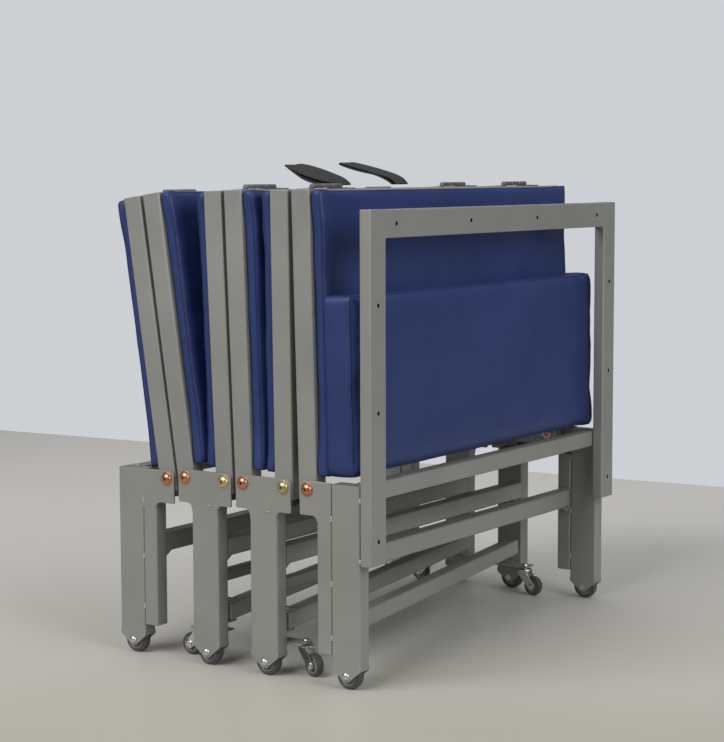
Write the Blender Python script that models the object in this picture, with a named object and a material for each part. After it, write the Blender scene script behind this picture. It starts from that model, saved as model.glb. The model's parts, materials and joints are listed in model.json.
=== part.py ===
"""Folded concertina rollaway bed: six hinged mattress panels on four wheeled leg units.

Metres, +Z up.  +X points to the head end, Y runs across the bed, and the origin is on
the floor under the middle of the folded bed.  The bed is modelled folded.
"""
import math

import bmesh
import bpy
from mathutils import Matrix, Vector

# ---- driving dimensions -------------------------------------------------------------
BED_WIDTH = 0.560
GAP = 0.0003                     # clearance between neighbouring solids
HALF_WIDTH = BED_WIDTH / 2

# leg units
LEG_WIDE = 0.037                 # main leg tube, along X
LEG_DEEP = 0.019                 # main leg tube, along Y
POST_WIDE = 0.019                # second tube of the two end units
POST_FOOT = 0.036                # height of its lower end
POST_WELD = 0.0002               # how far joined tubes run into each other
PLATE_THICK = 0.0025
PLATE_ABOVE = 0.0095             # plate edge above the pivots
PLATE_BELOW = 0.028              # plate edge below the pivots
PLATE_BESIDE = 0.010             # plate edge beyond the pivots
PLATE_ROUND = 0.0065
PIVOT_SPACING = 0.055            # two pivots on one middle plate
TUBE_BELOW_PIVOT = 0.0250        # tubes under a plate stop this far below its pivots
HEAD_PIVOT_Z = 0.214
HEAD_EAR = 0.0125                # pivot to second tube, head unit
FOOT_EAR = 0.0165                # pivot to second tube, foot unit
LEG_TOP_ABOVE_PIVOT = 0.0085
CROSSBAR = 0.0195
END_BAR_Z = (0.120, 0.142)       # lower crossbar of the end units
UPPER_BAR_Z = (0.124, 0.145)     # upper crossbar of the middle units
THIN_BAR_Z = (0.092, 0.105)      # thin crossbar of the middle units
THIN_BAR_WIDE = 0.012

# leg feet and wheels
WHEEL_RADIUS = 0.0155
WHEEL_WIDE = 0.0105
WHEEL_BORE = 0.0030
CHEEK_THICK = 0.0025
FORK_TOP = 0.0330                # top of the wheel well in a leg
WELL_HALF = 0.0160               # the well keeps the leg's two narrow walls
CHEEK_CORNER = 0.0220            # where the foot starts to taper and the narrow walls end
CHEEK_END = 0.0090
CHEEK_END_HALF = 0.0060
AXLE_RADIUS = 0.0026
AXLE_HEAD_RADIUS = 0.0045
AXLE_HEAD = 0.0024

# folding panels: lean is how far a panel's top tips towards the foot end
PANEL_THICK = 0.024
PANEL_LENGTH = 0.3220            # pivot to the hinged end
PANEL_HEEL = 0.0200              # pivot to the lower end
PANEL_SIDE = 0.020               # side rail, along Y
PANEL_RAIL = 0.020               # cross rails, along the panel
PANEL_MID_RAIL_Z = 0.165
PAIR_SPACING = 0.0284            # between the mid planes of a folded pair
PANEL_OFFSET = -0.0020           # from a pivot to the mid plane of its panel, along X
HINGE_ABOVE_END = 0.0032
HEAD_PAIR_LEAN = (1.45, 0.75)    # right and left panel of each pair, degrees
MIDDLE_PAIR_LEAN = (2.15, 2.38)
FOOT_PAIR_LEAN = (8.30, 8.53)

# leaf hinges on the panels' top ends
LEAF_LONG = 0.056
LEAF_CENTRE_Y = 0.207
LEAF_THICK = 0.0020
LEAF_REACH = 0.0200
KNUCKLE_RADIUS = 0.0030
KNUCKLE_KEEP = 0.0036            # leaf edge to hinge axis
PIN_RADIUS = 0.0014
PIN_BORE = 0.0019
KNUCKLE_SPLIT = 0.0095           # half length of the middle knuckle

# cushions
CUSHION_Y = (-0.2757, 0.2757)    # the pads are as wide as the frames
CUSHION_THICK = 0.0145
CUSHION_FOOT = 0.0120            # lower end above the pivots
CUSHION_ROUND = 0.004
PILLOW_THICK = 0.0350
PILLOW_FOOT = 0.0082             # it rests just above the head unit's bar
PILLOW_TALL = 0.2050

# bolts
BOLT_RADIUS = 0.0036
BOLT_BORE = 0.0041
BOLT_HEAD_RADIUS = 0.0072
BOLT_HEAD = 0.0042
BOLT_LENGTH = 0.0290

# headboard frame
BOARD_DEEP = 0.014
BOARD_WIDE = 0.0305
BOARD_FOOT = 0.1370
BOARD_TOP = 0.5150
SCREW_HOLE_RADIUS = 0.0022
TOP_RAIL_HOLES_Y = (-0.2295, -0.0760, 0.0760, 0.2295)
UPRIGHT_HOLES_Z = (0.1630, 0.3005, 0.4145)

# swivel casters on the middle units
CASTER_OUT = 0.0330              # kingpin from the leg centre, along X
CASTER_IN = 0.0345               # kingpin from the side of the bed
CASTER_TRAIL = 0.0140
CASTER_WHEEL_RADIUS = 0.0128
CASTER_WHEEL_WIDE = 0.0090
CASTER_FORK_THICK = 0.0016
CASTER_FORK_TOP = 0.0330
CASTER_PLATE_Z = 0.0345
CASTER_PLATE_THICK = 0.0025
KINGPIN_RADIUS = 0.0026
KINGPIN_BORE = 0.0030

# stay bars between neighbouring units
STAY_Z = (0.0500, 0.0695)
STAY_WIDE = 0.0180
STAY_SKEW_X = 0.0735             # how far the free end lies from the pinned end
STAY_LUG_THICK = 0.0025
STAY_PIN_RADIUS = 0.0026
STAY_PIN_BORE = 0.0030
STAY_PIN_IN = 0.0290             # pin from the side of the bed
STAY_END_GAP = 0.0007            # free end to its own far leg when swung parallel to it

# pull straps on two of the hinged ends
STRAP_WIDE = 0.024
STRAP_THICK = 0.0016
STRAP_LENGTH = 0.078
STRAP_Y = {"head": -0.060, "middle": -0.045}

ROUND_STEPS = 16
SMALL_STEPS = 10
SIDES = (-1, 1)

STEEL = (0.275, 0.275, 0.255, 1.0)
VINYL = (0.035, 0.055, 0.260, 1.0)
COPPER = (0.480, 0.210, 0.130, 1.0)
BRASS = (0.500, 0.400, 0.170, 1.0)
ZINC = (0.560, 0.560, 0.540, 1.0)
WHEEL_GREY = (0.200, 0.200, 0.190, 1.0)
WEBBING = (0.012, 0.012, 0.012, 1.0)


# ---- where the pivots lie -------------------------------------------------------------
def fold_pair(right, lean_right, lean_left):
    """The left pivot and the hinge axis of a folded pair hung from its right pivot."""
    a = math.radians(lean_right)
    b = math.radians(lean_left)
    half = PAIR_SPACING / 2
    reach = PANEL_LENGTH + HINGE_ABOVE_END
    inward = half - PANEL_OFFSET
    hinge_x = right[0] - reach * math.sin(a) - inward * math.cos(a)
    hinge_z = right[1] + reach * math.cos(a) - inward * math.sin(a)
    inward = half + PANEL_OFFSET
    left_x = hinge_x - inward * math.cos(b) + reach * math.sin(b)
    left_z = hinge_z - inward * math.sin(b) - reach * math.cos(b)
    return (left_x, left_z), (hinge_x, hinge_z)


def lay_out(head_x):
    """Pivot points of the six panels and the three hinge axes, as (x, z)."""
    pivots = {6: (head_x, HEAD_PIVOT_Z)}
    hinges = {}
    pivots[5], hinges["head"] = fold_pair(pivots[6], *HEAD_PAIR_LEAN)
    pivots[4] = (pivots[5][0] - PIVOT_SPACING, pivots[5][1])
    pivots[3], hinges["middle"] = fold_pair(pivots[4], *MIDDLE_PAIR_LEAN)
    pivots[2] = (pivots[3][0] - PIVOT_SPACING, pivots[3][1])
    pivots[1], hinges["foot"] = fold_pair(pivots[2], *FOOT_PAIR_LEAN)
    return pivots, hinges


def head_unit_reach():
    """From the head pivot to the outer face of the headboard frame."""
    return HEAD_EAR + POST_WIDE + LEG_WIDE + GAP + BOARD_DEEP


def head_pivot_x():
    """Puts the middle of the folded bed over the origin."""
    pivots, _ = lay_out(0.0)
    low = pivots[1][0] - FOOT_EAR - POST_WIDE - LEG_WIDE
    return -(low + head_unit_reach()) / 2


PIVOTS, HINGES = lay_out(head_pivot_x())
LEAN = {6: HEAD_PAIR_LEAN[0], 5: HEAD_PAIR_LEAN[1], 4: MIDDLE_PAIR_LEAN[0],
        3: MIDDLE_PAIR_LEAN[1], 2: FOOT_PAIR_LEAN[0], 1: FOOT_PAIR_LEAN[1]}
PAIR_OF = {6: "head", 5: "head", 4: "middle", 3: "middle", 2: "foot", 1: "foot"}
MIDDLE_C_X = (PIVOTS[5][0] + PIVOTS[4][0]) / 2
MIDDLE_B_X = (PIVOTS[3][0] + PIVOTS[2][0]) / 2


# ---- helpers --------------------------------------------------------------------------
def clear_scene():
    for obj in list(bpy.data.objects):
        bpy.data.objects.remove(obj, do_unlink=True)


def material(name, colour, roughness, metallic=0.0):
    mat = bpy.data.materials.new(name)
    mat.use_nodes = True
    shader = mat.node_tree.nodes["Principled BSDF"]
    shader.inputs["Base Color"].default_value = colour
    shader.inputs["Roughness"].default_value = roughness
    shader.inputs["Metallic"].default_value = metallic
    mat.diffuse_color = colour
    return mat


def object_from(bm, name):
    mesh = bpy.data.meshes.new(name)
    bmesh.ops.recalc_face_normals(bm, faces=bm.faces)
    bm.to_mesh(mesh)
    bm.free()
    obj = bpy.data.objects.new(name, mesh)
    bpy.context.collection.objects.link(obj)
    return obj


def box(low, high):
    """A plain block between two corners."""
    bm = bmesh.new()
    bmesh.ops.create_cube(bm, size=1.0)
    size = [b - a for a, b in zip(low, high)]
    middle = [(a + b) / 2 for a, b in zip(low, high)]
    bmesh.ops.scale(bm, vec=size, verts=bm.verts)
    bmesh.ops.translate(bm, vec=middle, verts=bm.verts)
    return object_from(bm, "block")


def slab(outline, low_y, high_y):
    """An (x, z) outline pushed along Y."""
    bm = bmesh.new()
    ring = [bm.verts.new((x, low_y, z)) for x, z in outline]
    face = bm.faces.new(ring)
    grown = bmesh.ops.extrude_face_region(bm, geom=[face])
    moved = [v for v in grown["geom"] if isinstance(v, bmesh.types.BMVert)]
    bmesh.ops.translate(bm, vec=(0, high_y - low_y, 0), verts=moved)
    return object_from(bm, "slab")


def turned(profile, steps):
    """A closed solid turned about +Y from (radius, y) points; the first and last radius
    may be zero, or the profile may close on itself to leave a bore."""
    bm = bmesh.new()
    bored = profile[0][0] > 0
    verts = [bm.verts.new((r, y, 0)) for r, y in profile]
    edges = [bm.edges.new(pair) for pair in zip(verts, verts[1:])]
    if bored:
        edges.append(bm.edges.new((verts[-1], verts[0])))
    bmesh.ops.spin(bm, geom=verts + edges, cent=(0, 0, 0), axis=(0, 1, 0),
                   angle=2 * math.pi, steps=steps, use_merge=True, use_duplicate=False)
    bmesh.ops.remove_doubles(bm, verts=bm.verts, dist=1e-6)
    return object_from(bm, "turned")


def rod(radius, low_y, high_y, steps=SMALL_STEPS):
    return turned([(0, low_y), (radius, low_y), (radius, high_y), (0, high_y)], steps)


def move(obj, x=0.0, y=0.0, z=0.0):
    obj.data.transform(Matrix.Translation((x, y, z)))
    return obj


def turn(obj, degrees, axis):
    obj.data.transform(Matrix.Rotation(math.radians(degrees), 4, axis))
    return obj


def combine(name, solids, cuts=()):
    """Welds solids into one body, cuts holes in it and names it."""
    base = solids[0]
    jobs = [(s, "UNION") for s in solids[1:]] + [(c, "DIFFERENCE") for c in cuts]
    for tool, kind in jobs:
        step = base.modifiers.new(kind.lower(), "BOOLEAN")
        step.operation = kind
        step.solver = "EXACT"
        step.object = tool
    bpy.context.view_layer.update()
    graph = bpy.context.evaluated_depsgraph_get()
    mesh = bpy.data.meshes.new_from_object(base.evaluated_get(graph))
    base.modifiers.clear()
    base.data = mesh
    for tool, _ in jobs:
        bpy.data.objects.remove(tool, do_unlink=True)
    base.name = name
    mesh.name = name
    mesh.materials.clear()
    return base


def finish(obj, name, mat, origin=None, smooth=False):
    """Names a piece, gives it its material and puts its origin on its joint's axis."""
    obj.name = name
    obj.data.name = name
    obj.data.materials.clear()
    obj.data.materials.append(mat)
    if origin is not None:
        obj.data.transform(Matrix.Translation(-Vector(origin)))
        obj.location = origin
    if smooth:
        obj.data.shade_smooth()
        obj.data.set_sharp_from_angle(angle=math.radians(40))
    return obj


def across(side, outer, inner):
    """Sorted Y limits of a piece on one side, from distances to the bed's outer side."""
    return sorted((side * (HALF_WIDTH - outer), side * (HALF_WIDTH - inner)))


# ---- leg units ------------------------------------------------------------------------
def leg_tube(middle_x, top, side):
    """A main leg with a tapered foot; the wheel slot is cut later."""
    half = LEG_WIDE / 2
    outline = [(-half, top), (half, top), (half, CHEEK_CORNER), (CHEEK_END_HALF, CHEEK_END),
               (-CHEEK_END_HALF, CHEEK_END), (-half, CHEEK_CORNER)]
    outline = [(middle_x + x, z) for x, z in outline]
    return slab(outline, *across(side, 0.0, LEG_DEEP))


def foot_cuts(middle_x, side):
    """The wheel slot between a foot's two cheeks, and the axle's hole."""
    half = LEG_WIDE / 2 + 0.002
    low, high = across(side, CHEEK_THICK, LEG_DEEP - CHEEK_THICK)
    slot = box((middle_x - half, low, -0.01), (middle_x + half, high, CHEEK_CORNER))
    well = box((middle_x - WELL_HALF, low, -0.01), (middle_x + WELL_HALF, high, FORK_TOP))
    hole = rod(AXLE_RADIUS + GAP, *across(side, -0.002, LEG_DEEP + 0.002))
    return [slot, well, move(hole, x=middle_x, z=WHEEL_RADIUS)]


def arc(centre, radius, start, end, steps=3):
    for i in range(steps + 1):
        angle = math.radians(start + (end - start) * i / steps)
        yield (centre[0] + radius * math.cos(angle), centre[1] + radius * math.sin(angle))


def middle_plate(middle_x, pivot_z, side):
    """T-shaped plate with two pivots: round top corners, and fillets down to the leg."""
    half = PIVOT_SPACING / 2 + PLATE_BESIDE
    top = PLATE_ABOVE
    low = -PLATE_BELOW
    r = PLATE_ROUND
    leg = LEG_WIDE / 2 - POST_WELD
    right = [(leg, low - r - 0.004)]
    right += list(arc((leg + r, low - r), r, 180, 90))
    right += [(half, low)]
    right += list(arc((half - r, top - r), r, 0, 90))
    left = [(-x, z) for x, z in reversed(right)]
    outline = [(middle_x + x, pivot_z + z) for x, z in right + left]
    return slab(outline, *across(side, 0.0, PLATE_THICK))


def end_plate(pivot, tube_x, direction, side):
    """One-pivot ear of an end unit; direction points from the pivot to its legs."""
    low = -PLATE_BELOW
    top = PLATE_ABOVE
    r = PLATE_ROUND
    tube = (tube_x - pivot[0]) * direction
    shape = [(tube + POST_WELD, top)]
    shape += list(arc((r - PLATE_BESIDE, top - r), r, 90, 180))
    shape += [(-PLATE_BESIDE, low)]
    shape += list(arc((tube - r, low - r), r, 90, 0))
    shape += [(tube + POST_WIDE - 0.001, low - r - 0.004), (tube + POST_WIDE - 0.001, top)]
    outline = [(pivot[0] + direction * x, pivot[1] + z) for x, z in shape]
    return slab(outline, *across(side, 0.0, PLATE_THICK))


def bolt_hole(pivot, side):
    hole = rod(BOLT_BORE, *across(side, -0.002, PLATE_THICK + 0.002), steps=12)
    return move(hole, x=pivot[0], z=pivot[1])


def crossbar(low_x, high_x, low_z, high_z, inset):
    reach = HALF_WIDTH - inset + POST_WELD
    return box((low_x, -reach, low_z), (high_x, reach, high_z))


def stay_lugs(pin_x, reach_x):
    """Two ears on the near leg that hold the stay bar's pin."""
    ears = []
    low, high = across(-1, LEG_DEEP - POST_WELD, STAY_PIN_IN + 0.006)
    for z in (STAY_Z[0] - GAP - STAY_LUG_THICK, STAY_Z[1] + GAP):
        ears.append(box((pin_x - reach_x, low, z), (pin_x + reach_x, high, z + STAY_LUG_THICK)))
    return ears


def stay_lug_hole(pin_x):
    hole = rod(STAY_PIN_BORE, -0.02, 0.02, steps=12)
    turn(hole, 90, "X")
    return move(hole, x=pin_x, y=-(HALF_WIDTH - STAY_PIN_IN), z=sum(STAY_Z) / 2)


def middle_unit(name, middle_x, pivots, caster_way, mat):
    """Two legs under T plates, two crossbars, caster plates and the stay bar's ears."""
    pivot_z = pivots[0][1]
    tube_top = pivot_z - TUBE_BELOW_PIVOT
    solids = []
    cuts = []
    for side in SIDES:
        solids.append(leg_tube(middle_x, tube_top, side))
        solids.append(middle_plate(middle_x, pivot_z, side))
        solids.append(caster_plate(middle_x, caster_way, side))
        cuts += foot_cuts(middle_x, side)
        cuts += [bolt_hole(p, side) for p in pivots]
        cuts.append(kingpin_hole(middle_x, caster_way, side))
    half = LEG_WIDE / 2
    solids.append(crossbar(middle_x + half - CROSSBAR, middle_x + half - 0.0002,
                           *UPPER_BAR_Z, LEG_DEEP))
    solids.append(crossbar(middle_x - THIN_BAR_WIDE / 2, middle_x + THIN_BAR_WIDE / 2,
                           *THIN_BAR_Z, LEG_DEEP))
    pin_x = middle_x + half - STAY_WIDE / 2
    solids += stay_lugs(pin_x, STAY_WIDE / 2 - 0.001)
    cuts.append(stay_lug_hole(pin_x))
    return finish(combine(name, solids, cuts), name, mat)


def caster_plate(middle_x, way, side):
    """Small plate welded to the inner face of a leg, with the kingpin's hole."""
    low, high = across(side, LEG_DEEP - POST_WELD, CASTER_IN + 0.009)
    ends = sorted((middle_x + way * (CASTER_OUT + 0.009), middle_x - way * 0.010))
    return box((ends[0], low, CASTER_PLATE_Z), (ends[1], high, CASTER_PLATE_Z + CASTER_PLATE_THICK))


def kingpin_at(middle_x, way, side):
    return middle_x + way * CASTER_OUT, side * (HALF_WIDTH - CASTER_IN)


def kingpin_hole(middle_x, way, side):
    x, y = kingpin_at(middle_x, way, side)
    hole = rod(KINGPIN_BORE, -0.006, 0.006, steps=12)
    turn(hole, 90, "X")
    return move(hole, x=x, y=y, z=CASTER_PLATE_Z)


def end_unit(name, pivot, ear, direction, mat):
    """Main leg and second tube on each side, an ear with one pivot, and two crossbars."""
    leg_top = pivot[1] + LEG_TOP_ABOVE_PIVOT
    tube_top = pivot[1] - TUBE_BELOW_PIVOT
    post_near = pivot[0] + direction * ear
    post_far = post_near + direction * POST_WIDE
    leg_x = post_far + direction * (LEG_WIDE / 2 - POST_WELD)
    solids = []
    cuts = []
    for side in SIDES:
        solids.append(leg_tube(leg_x, leg_top, side))
        low, high = across(side, 0.0, POST_WIDE)
        ends = sorted((post_near, post_far))
        solids.append(box((ends[0], low, POST_FOOT), (ends[1], high, tube_top)))
        solids.append(end_plate(pivot, post_near, direction, side))
        cuts += foot_cuts(leg_x, side)
        cuts.append(bolt_hole(pivot, side))
    outer = leg_x + direction * (LEG_WIDE / 2 - 0.0002)
    ends = sorted((outer, outer - direction * CROSSBAR))
    solids.append(crossbar(ends[0], ends[1], leg_top - CROSSBAR, leg_top - 0.0002, LEG_DEEP))
    ends = sorted((post_near + direction * 0.0002, post_far - direction * 0.0002))
    solids.append(crossbar(ends[0], ends[1], *END_BAR_Z, POST_WIDE))
    if direction > 0:
        pin_x = post_far - STAY_WIDE / 2
        solids += stay_lugs(pin_x, STAY_WIDE / 2 - 0.001)
        cuts.append(stay_lug_hole(pin_x))
    return finish(combine(name, solids, cuts), name, mat), leg_x


# ---- wheels and bolts -----------------------------------------------------------------
def wheel(radius, width, bore):
    """A small wheel with a rounded tread and a dished hub, turned about Y."""
    half = width / 2
    hub = radius * 0.60
    profile = [(bore, -half), (hub, -half), (radius * 0.72, -half * 0.86), (radius, -half * 0.55),
               (radius, half * 0.55), (radius * 0.72, half * 0.86), (hub, half), (bore, half)]
    return turned(profile, ROUND_STEPS)


def leg_wheel(name, x, side, mat):
    piece = wheel(WHEEL_RADIUS, WHEEL_WIDE, WHEEL_BORE)
    centre = (x, side * (HALF_WIDTH - LEG_DEEP / 2), WHEEL_RADIUS)
    move(piece, *centre)
    return finish(piece, name, mat, origin=centre, smooth=True)


def wheel_bolt(name, x, side, mat):
    """The wheel's axle: a bolt with its head outside and a nut inside."""
    half = LEG_DEEP / 2 + GAP
    profile = [(0, -half - AXLE_HEAD), (AXLE_HEAD_RADIUS * 0.7, -half - AXLE_HEAD),
               (AXLE_HEAD_RADIUS, -half - AXLE_HEAD * 0.4), (AXLE_HEAD_RADIUS, -half),
               (AXLE_RADIUS, -half), (AXLE_RADIUS, half), (AXLE_HEAD_RADIUS * 0.95, half),
               (AXLE_HEAD_RADIUS * 0.95, half + AXLE_HEAD), (0, half + AXLE_HEAD)]
    piece = turned([(r, -side * y) for r, y in profile], SMALL_STEPS)
    centre = (x, side * (HALF_WIDTH - LEG_DEEP / 2), WHEEL_RADIUS)
    move(piece, *centre)
    return finish(piece, name, mat, origin=centre, smooth=True)


def pivot_bolt(name, pivot, side, mat):
    """A round-headed bolt through a plate and the side rail of a panel."""
    head = BOLT_HEAD
    profile = [(0, -GAP - head), (BOLT_HEAD_RADIUS * 0.55, -GAP - head * 0.86),
               (BOLT_HEAD_RADIUS * 0.9, -GAP - head * 0.45), (BOLT_HEAD_RADIUS, -GAP),
               (BOLT_RADIUS, -GAP), (BOLT_RADIUS, BOLT_LENGTH), (0, BOLT_LENGTH)]
    piece = turned([(r, -side * (y - HALF_WIDTH)) for r, y in profile], 12)
    move(piece, x=pivot[0], z=pivot[1])
    centre = (pivot[0], side * HALF_WIDTH, pivot[1])
    return finish(piece, name, mat, origin=centre, smooth=True)


# ---- folding panels ---------------------------------------------------------------------
def place_on_panel(obj, number):
    """From a panel's own axes (x along its thickness, z along its length) to the bed."""
    move(obj, x=PANEL_OFFSET)
    turn(obj, -LEAN[number], "Y")
    return move(obj, x=PIVOTS[number][0], z=PIVOTS[number][1])


def knuckle(axis_x, axis_z, low_y, high_y):
    return move(rod(KNUCKLE_RADIUS, low_y, high_y, steps=12), x=axis_x, z=axis_z)


def leaf(side, axis_x, away, has_pin):
    """One leaf of a hinge on a panel's end; away points from the axis into the panel."""
    axis_z = PANEL_LENGTH + HINGE_ABOVE_END
    middle = side * LEAF_CENTRE_Y
    half = LEAF_LONG / 2
    top = PANEL_LENGTH + LEAF_THICK
    ends = sorted((axis_x + away * KNUCKLE_KEEP, axis_x + away * LEAF_REACH))
    solids = [box((ends[0], middle - half, PANEL_LENGTH - POST_WELD), (ends[1], middle + half, top))]
    if has_pin:
        spans = [(middle - KNUCKLE_SPLIT + GAP, middle + KNUCKLE_SPLIT - GAP)]
    else:
        spans = [(middle - half, middle - KNUCKLE_SPLIT), (middle + KNUCKLE_SPLIT, middle + half)]
    bridge = sorted((axis_x, axis_x + away * (KNUCKLE_KEEP + 0.001)))
    for low, high in spans:
        solids.append(knuckle(axis_x, axis_z, low, high))
        solids.append(box((bridge[0], low, axis_z - 0.0024), (bridge[1], high, top - 0.0003)))
    if has_pin:
        solids.append(move(rod(PIN_RADIUS, middle - half, middle + half), x=axis_x, z=axis_z))
    return solids


def leaf_bore(side, axis_x):
    half = LEAF_LONG / 2 + 0.002
    middle = side * LEAF_CENTRE_Y
    bore = rod(PIN_BORE, middle - half, middle + half, steps=SMALL_STEPS)
    return move(bore, x=axis_x, z=PANEL_LENGTH + HINGE_ABOVE_END)


def panel_frame(number, mat):
    """A ladder of square tube; even panels face the head end, odd ones the foot end."""
    name = "panel_frame_%d" % number
    outward = 1 if number % 2 == 0 else -1
    half = PANEL_THICK / 2
    outer = HALF_WIDTH - PLATE_THICK - 2 * GAP
    inner = outer - PANEL_SIDE
    solids = []
    for side in SIDES:
        low, high = sorted((side * outer, side * inner))
        solids.append(box((-half, low, -PANEL_HEEL), (half, high, PANEL_LENGTH)))
    run = inner + POST_WELD
    rails = (PANEL_LENGTH - PANEL_RAIL, PANEL_MID_RAIL_Z, CUSHION_FOOT)
    for low_z in rails:
        high_z = low_z + PANEL_RAIL - 0.0002
        solids.append(box((-half + 0.0002, -run, low_z), (half - 0.0002, run, high_z)))
    axis_x = -outward * PAIR_SPACING / 2
    cuts = []
    for side in SIDES:
        solids += leaf(side, axis_x, outward, has_pin=(outward < 0))
        if outward > 0:
            cuts.append(leaf_bore(side, axis_x))
        hole = rod(BOLT_BORE, *across(side, -0.001, PLATE_THICK + PANEL_SIDE + 0.009), steps=12)
        cuts.append(move(hole, x=-PANEL_OFFSET))
    piece = combine(name, solids, cuts)
    place_on_panel(piece, number)
    return finish(piece, name, mat, origin=(PIVOTS[number][0], 0.0, PIVOTS[number][1]))


def rounded_pad(low, high, radius):
    """A plain cushion solid: a block with its long edges cut."""
    piece = box(low, high)
    bevel = piece.modifiers.new("edges", "BEVEL")
    bevel.width = radius
    bevel.segments = 1
    bpy.context.view_layer.update()
    graph = bpy.context.evaluated_depsgraph_get()
    mesh = bpy.data.meshes.new_from_object(piece.evaluated_get(graph))
    piece.modifiers.clear()
    piece.data = mesh
    return piece


def cushion(number, mat):
    """A thin pad on a panel's outer face."""
    name = "cushion_%d" % number
    near = PANEL_THICK / 2 + GAP
    limits = [near, near + CUSHION_THICK]
    if number % 2:
        limits = [-limits[1], -limits[0]]
    low_y, high_y = CUSHION_Y
    piece = rounded_pad((limits[0], low_y, CUSHION_FOOT), (limits[1], high_y, PANEL_LENGTH), CUSHION_ROUND)
    place_on_panel(piece, number)
    return finish(piece, name, mat, origin=(PIVOTS[number][0], 0.0, PIVOTS[number][1]))


def pillow(mat):
    """The thick block on the lower part of the head panel."""
    near = PANEL_THICK / 2 + CUSHION_THICK + 3 * GAP
    low_y, high_y = CUSHION_Y
    low = (near, low_y, PILLOW_FOOT)
    high = (near + PILLOW_THICK, high_y, PILLOW_FOOT + PILLOW_TALL)
    piece = rounded_pad(low, high, 2 * CUSHION_ROUND)
    place_on_panel(piece, 6)
    return finish(piece, "pillow_block", mat, origin=(PIVOTS[6][0], 0.0, PIVOTS[6][1]))


# ---- headboard, casters, stay bars, straps ------------------------------------------------
def headboard(mat):
    """An upside-down U of flat tube with screw holes for a board."""
    low_x = PIVOTS[6][0] + HEAD_EAR + POST_WIDE + LEG_WIDE + GAP
    high_x = low_x + BOARD_DEEP
    solids = []
    cuts = []
    for side in SIDES:
        low, high = across(side, 0.0, BOARD_WIDE)
        solids.append(box((low_x, low, BOARD_FOOT), (high_x, high, BOARD_TOP)))
        for z in UPRIGHT_HOLES_Z:
            cuts.append(screw_hole(high_x, side * (HALF_WIDTH - BOARD_WIDE / 2), z))
    reach = HALF_WIDTH - BOARD_WIDE + POST_WELD
    solids.append(box((low_x + 0.0002, -reach, BOARD_TOP - BOARD_WIDE),
                      (high_x - 0.0002, reach, BOARD_TOP - 0.0002)))
    for y in TOP_RAIL_HOLES_Y:
        cuts.append(screw_hole(high_x, y, BOARD_TOP - BOARD_WIDE / 2))
    return finish(combine("headboard_frame", solids, cuts), "headboard_frame", mat)


def screw_hole(face_x, y, z):
    hole = rod(SCREW_HOLE_RADIUS, -0.004, 0.004, steps=8)
    turn(hole, 90, "Z")
    return move(hole, x=face_x, y=y, z=z)


def caster_fork(name, middle_x, way, side, angle, mat):
    """A bent fork with its kingpin and the wheel's pin in one piece; it trails the kingpin."""
    half = CASTER_WHEEL_WIDE / 2 + 0.0006
    thick = CASTER_FORK_THICK
    top = CASTER_FORK_TOP
    solids = [box((-0.0075, -half - thick, top - thick), (0.0085, half + thick, top))]
    radius = 0.0050
    centre = (CASTER_TRAIL, CASTER_WHEEL_RADIUS)
    cheek = [(-0.0060, top - 0.0002), (-0.0060, top - 0.0040), (centre[0] - 0.0045, centre[1] - 0.0020)]
    cheek += list(arc(centre, radius, 220, 380, steps=4))
    cheek += [(0.0085, top - 0.0002)]
    for low in (-half - thick, half):
        solids.append(slab(cheek, low, low + thick))
    pin = turned([(0, -half - thick - 0.0012), (0.0032, -half - thick - 0.0012), (0.0032, -half - thick + 0.0004),
                  (AXLE_RADIUS, -half - thick + 0.0004), (AXLE_RADIUS, half + thick - 0.0004),
                  (0.0032, half + thick - 0.0004), (0.0032, half + thick + 0.0012),
                  (0, half + thick + 0.0012)], SMALL_STEPS)
    solids.append(move(pin, x=centre[0], z=centre[1]))
    kingpin = turned([(0, -0.0005), (KINGPIN_RADIUS, -0.0005), (KINGPIN_RADIUS, 0.0050),
                      (0.0042, 0.0050), (0.0042, 0.0070), (0, 0.0070)], SMALL_STEPS)
    turn(kingpin, 90, "X")
    solids.append(move(kingpin, z=top))
    piece = combine(name, solids)
    x, y = kingpin_at(middle_x, way, side)
    turn(piece, angle, "Z")
    move(piece, x=x, y=y)
    return finish(piece, name, mat, origin=(x, y, 0.0))


def caster_wheel(name, middle_x, way, side, angle, mat):
    piece = wheel(CASTER_WHEEL_RADIUS, CASTER_WHEEL_WIDE, WHEEL_BORE)
    x, y = kingpin_at(middle_x, way, side)
    turn(piece, angle, "Z")
    centre = (x + CASTER_TRAIL * math.cos(math.radians(angle)),
              y + CASTER_TRAIL * math.sin(math.radians(angle)), CASTER_WHEEL_RADIUS)
    move(piece, *centre)
    return finish(piece, name, mat, origin=centre, smooth=True)


def stay_bar(name, pin_x, mat):
    """A bar pinned to one leg unit; its free end rests by the far leg of the next unit."""
    pin_y = -(HALF_WIDTH - STAY_PIN_IN)
    length = HALF_WIDTH - LEG_DEEP - STAY_END_GAP - pin_y
    angle = math.degrees(math.asin(STAY_SKEW_X / length))
    bar = box((-STAY_WIDE / 2, -0.0080, STAY_Z[0]), (STAY_WIDE / 2, length, STAY_Z[1]))
    pin = rod(STAY_PIN_RADIUS, STAY_Z[0] - 0.0045, STAY_Z[1] + 0.0045)
    turn(pin, 90, "X")
    piece = combine(name, [bar, pin])
    turn(piece, angle, "Z")
    move(piece, x=pin_x, y=pin_y)
    return finish(piece, name, mat, origin=(pin_x, pin_y, 0.0))


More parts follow.
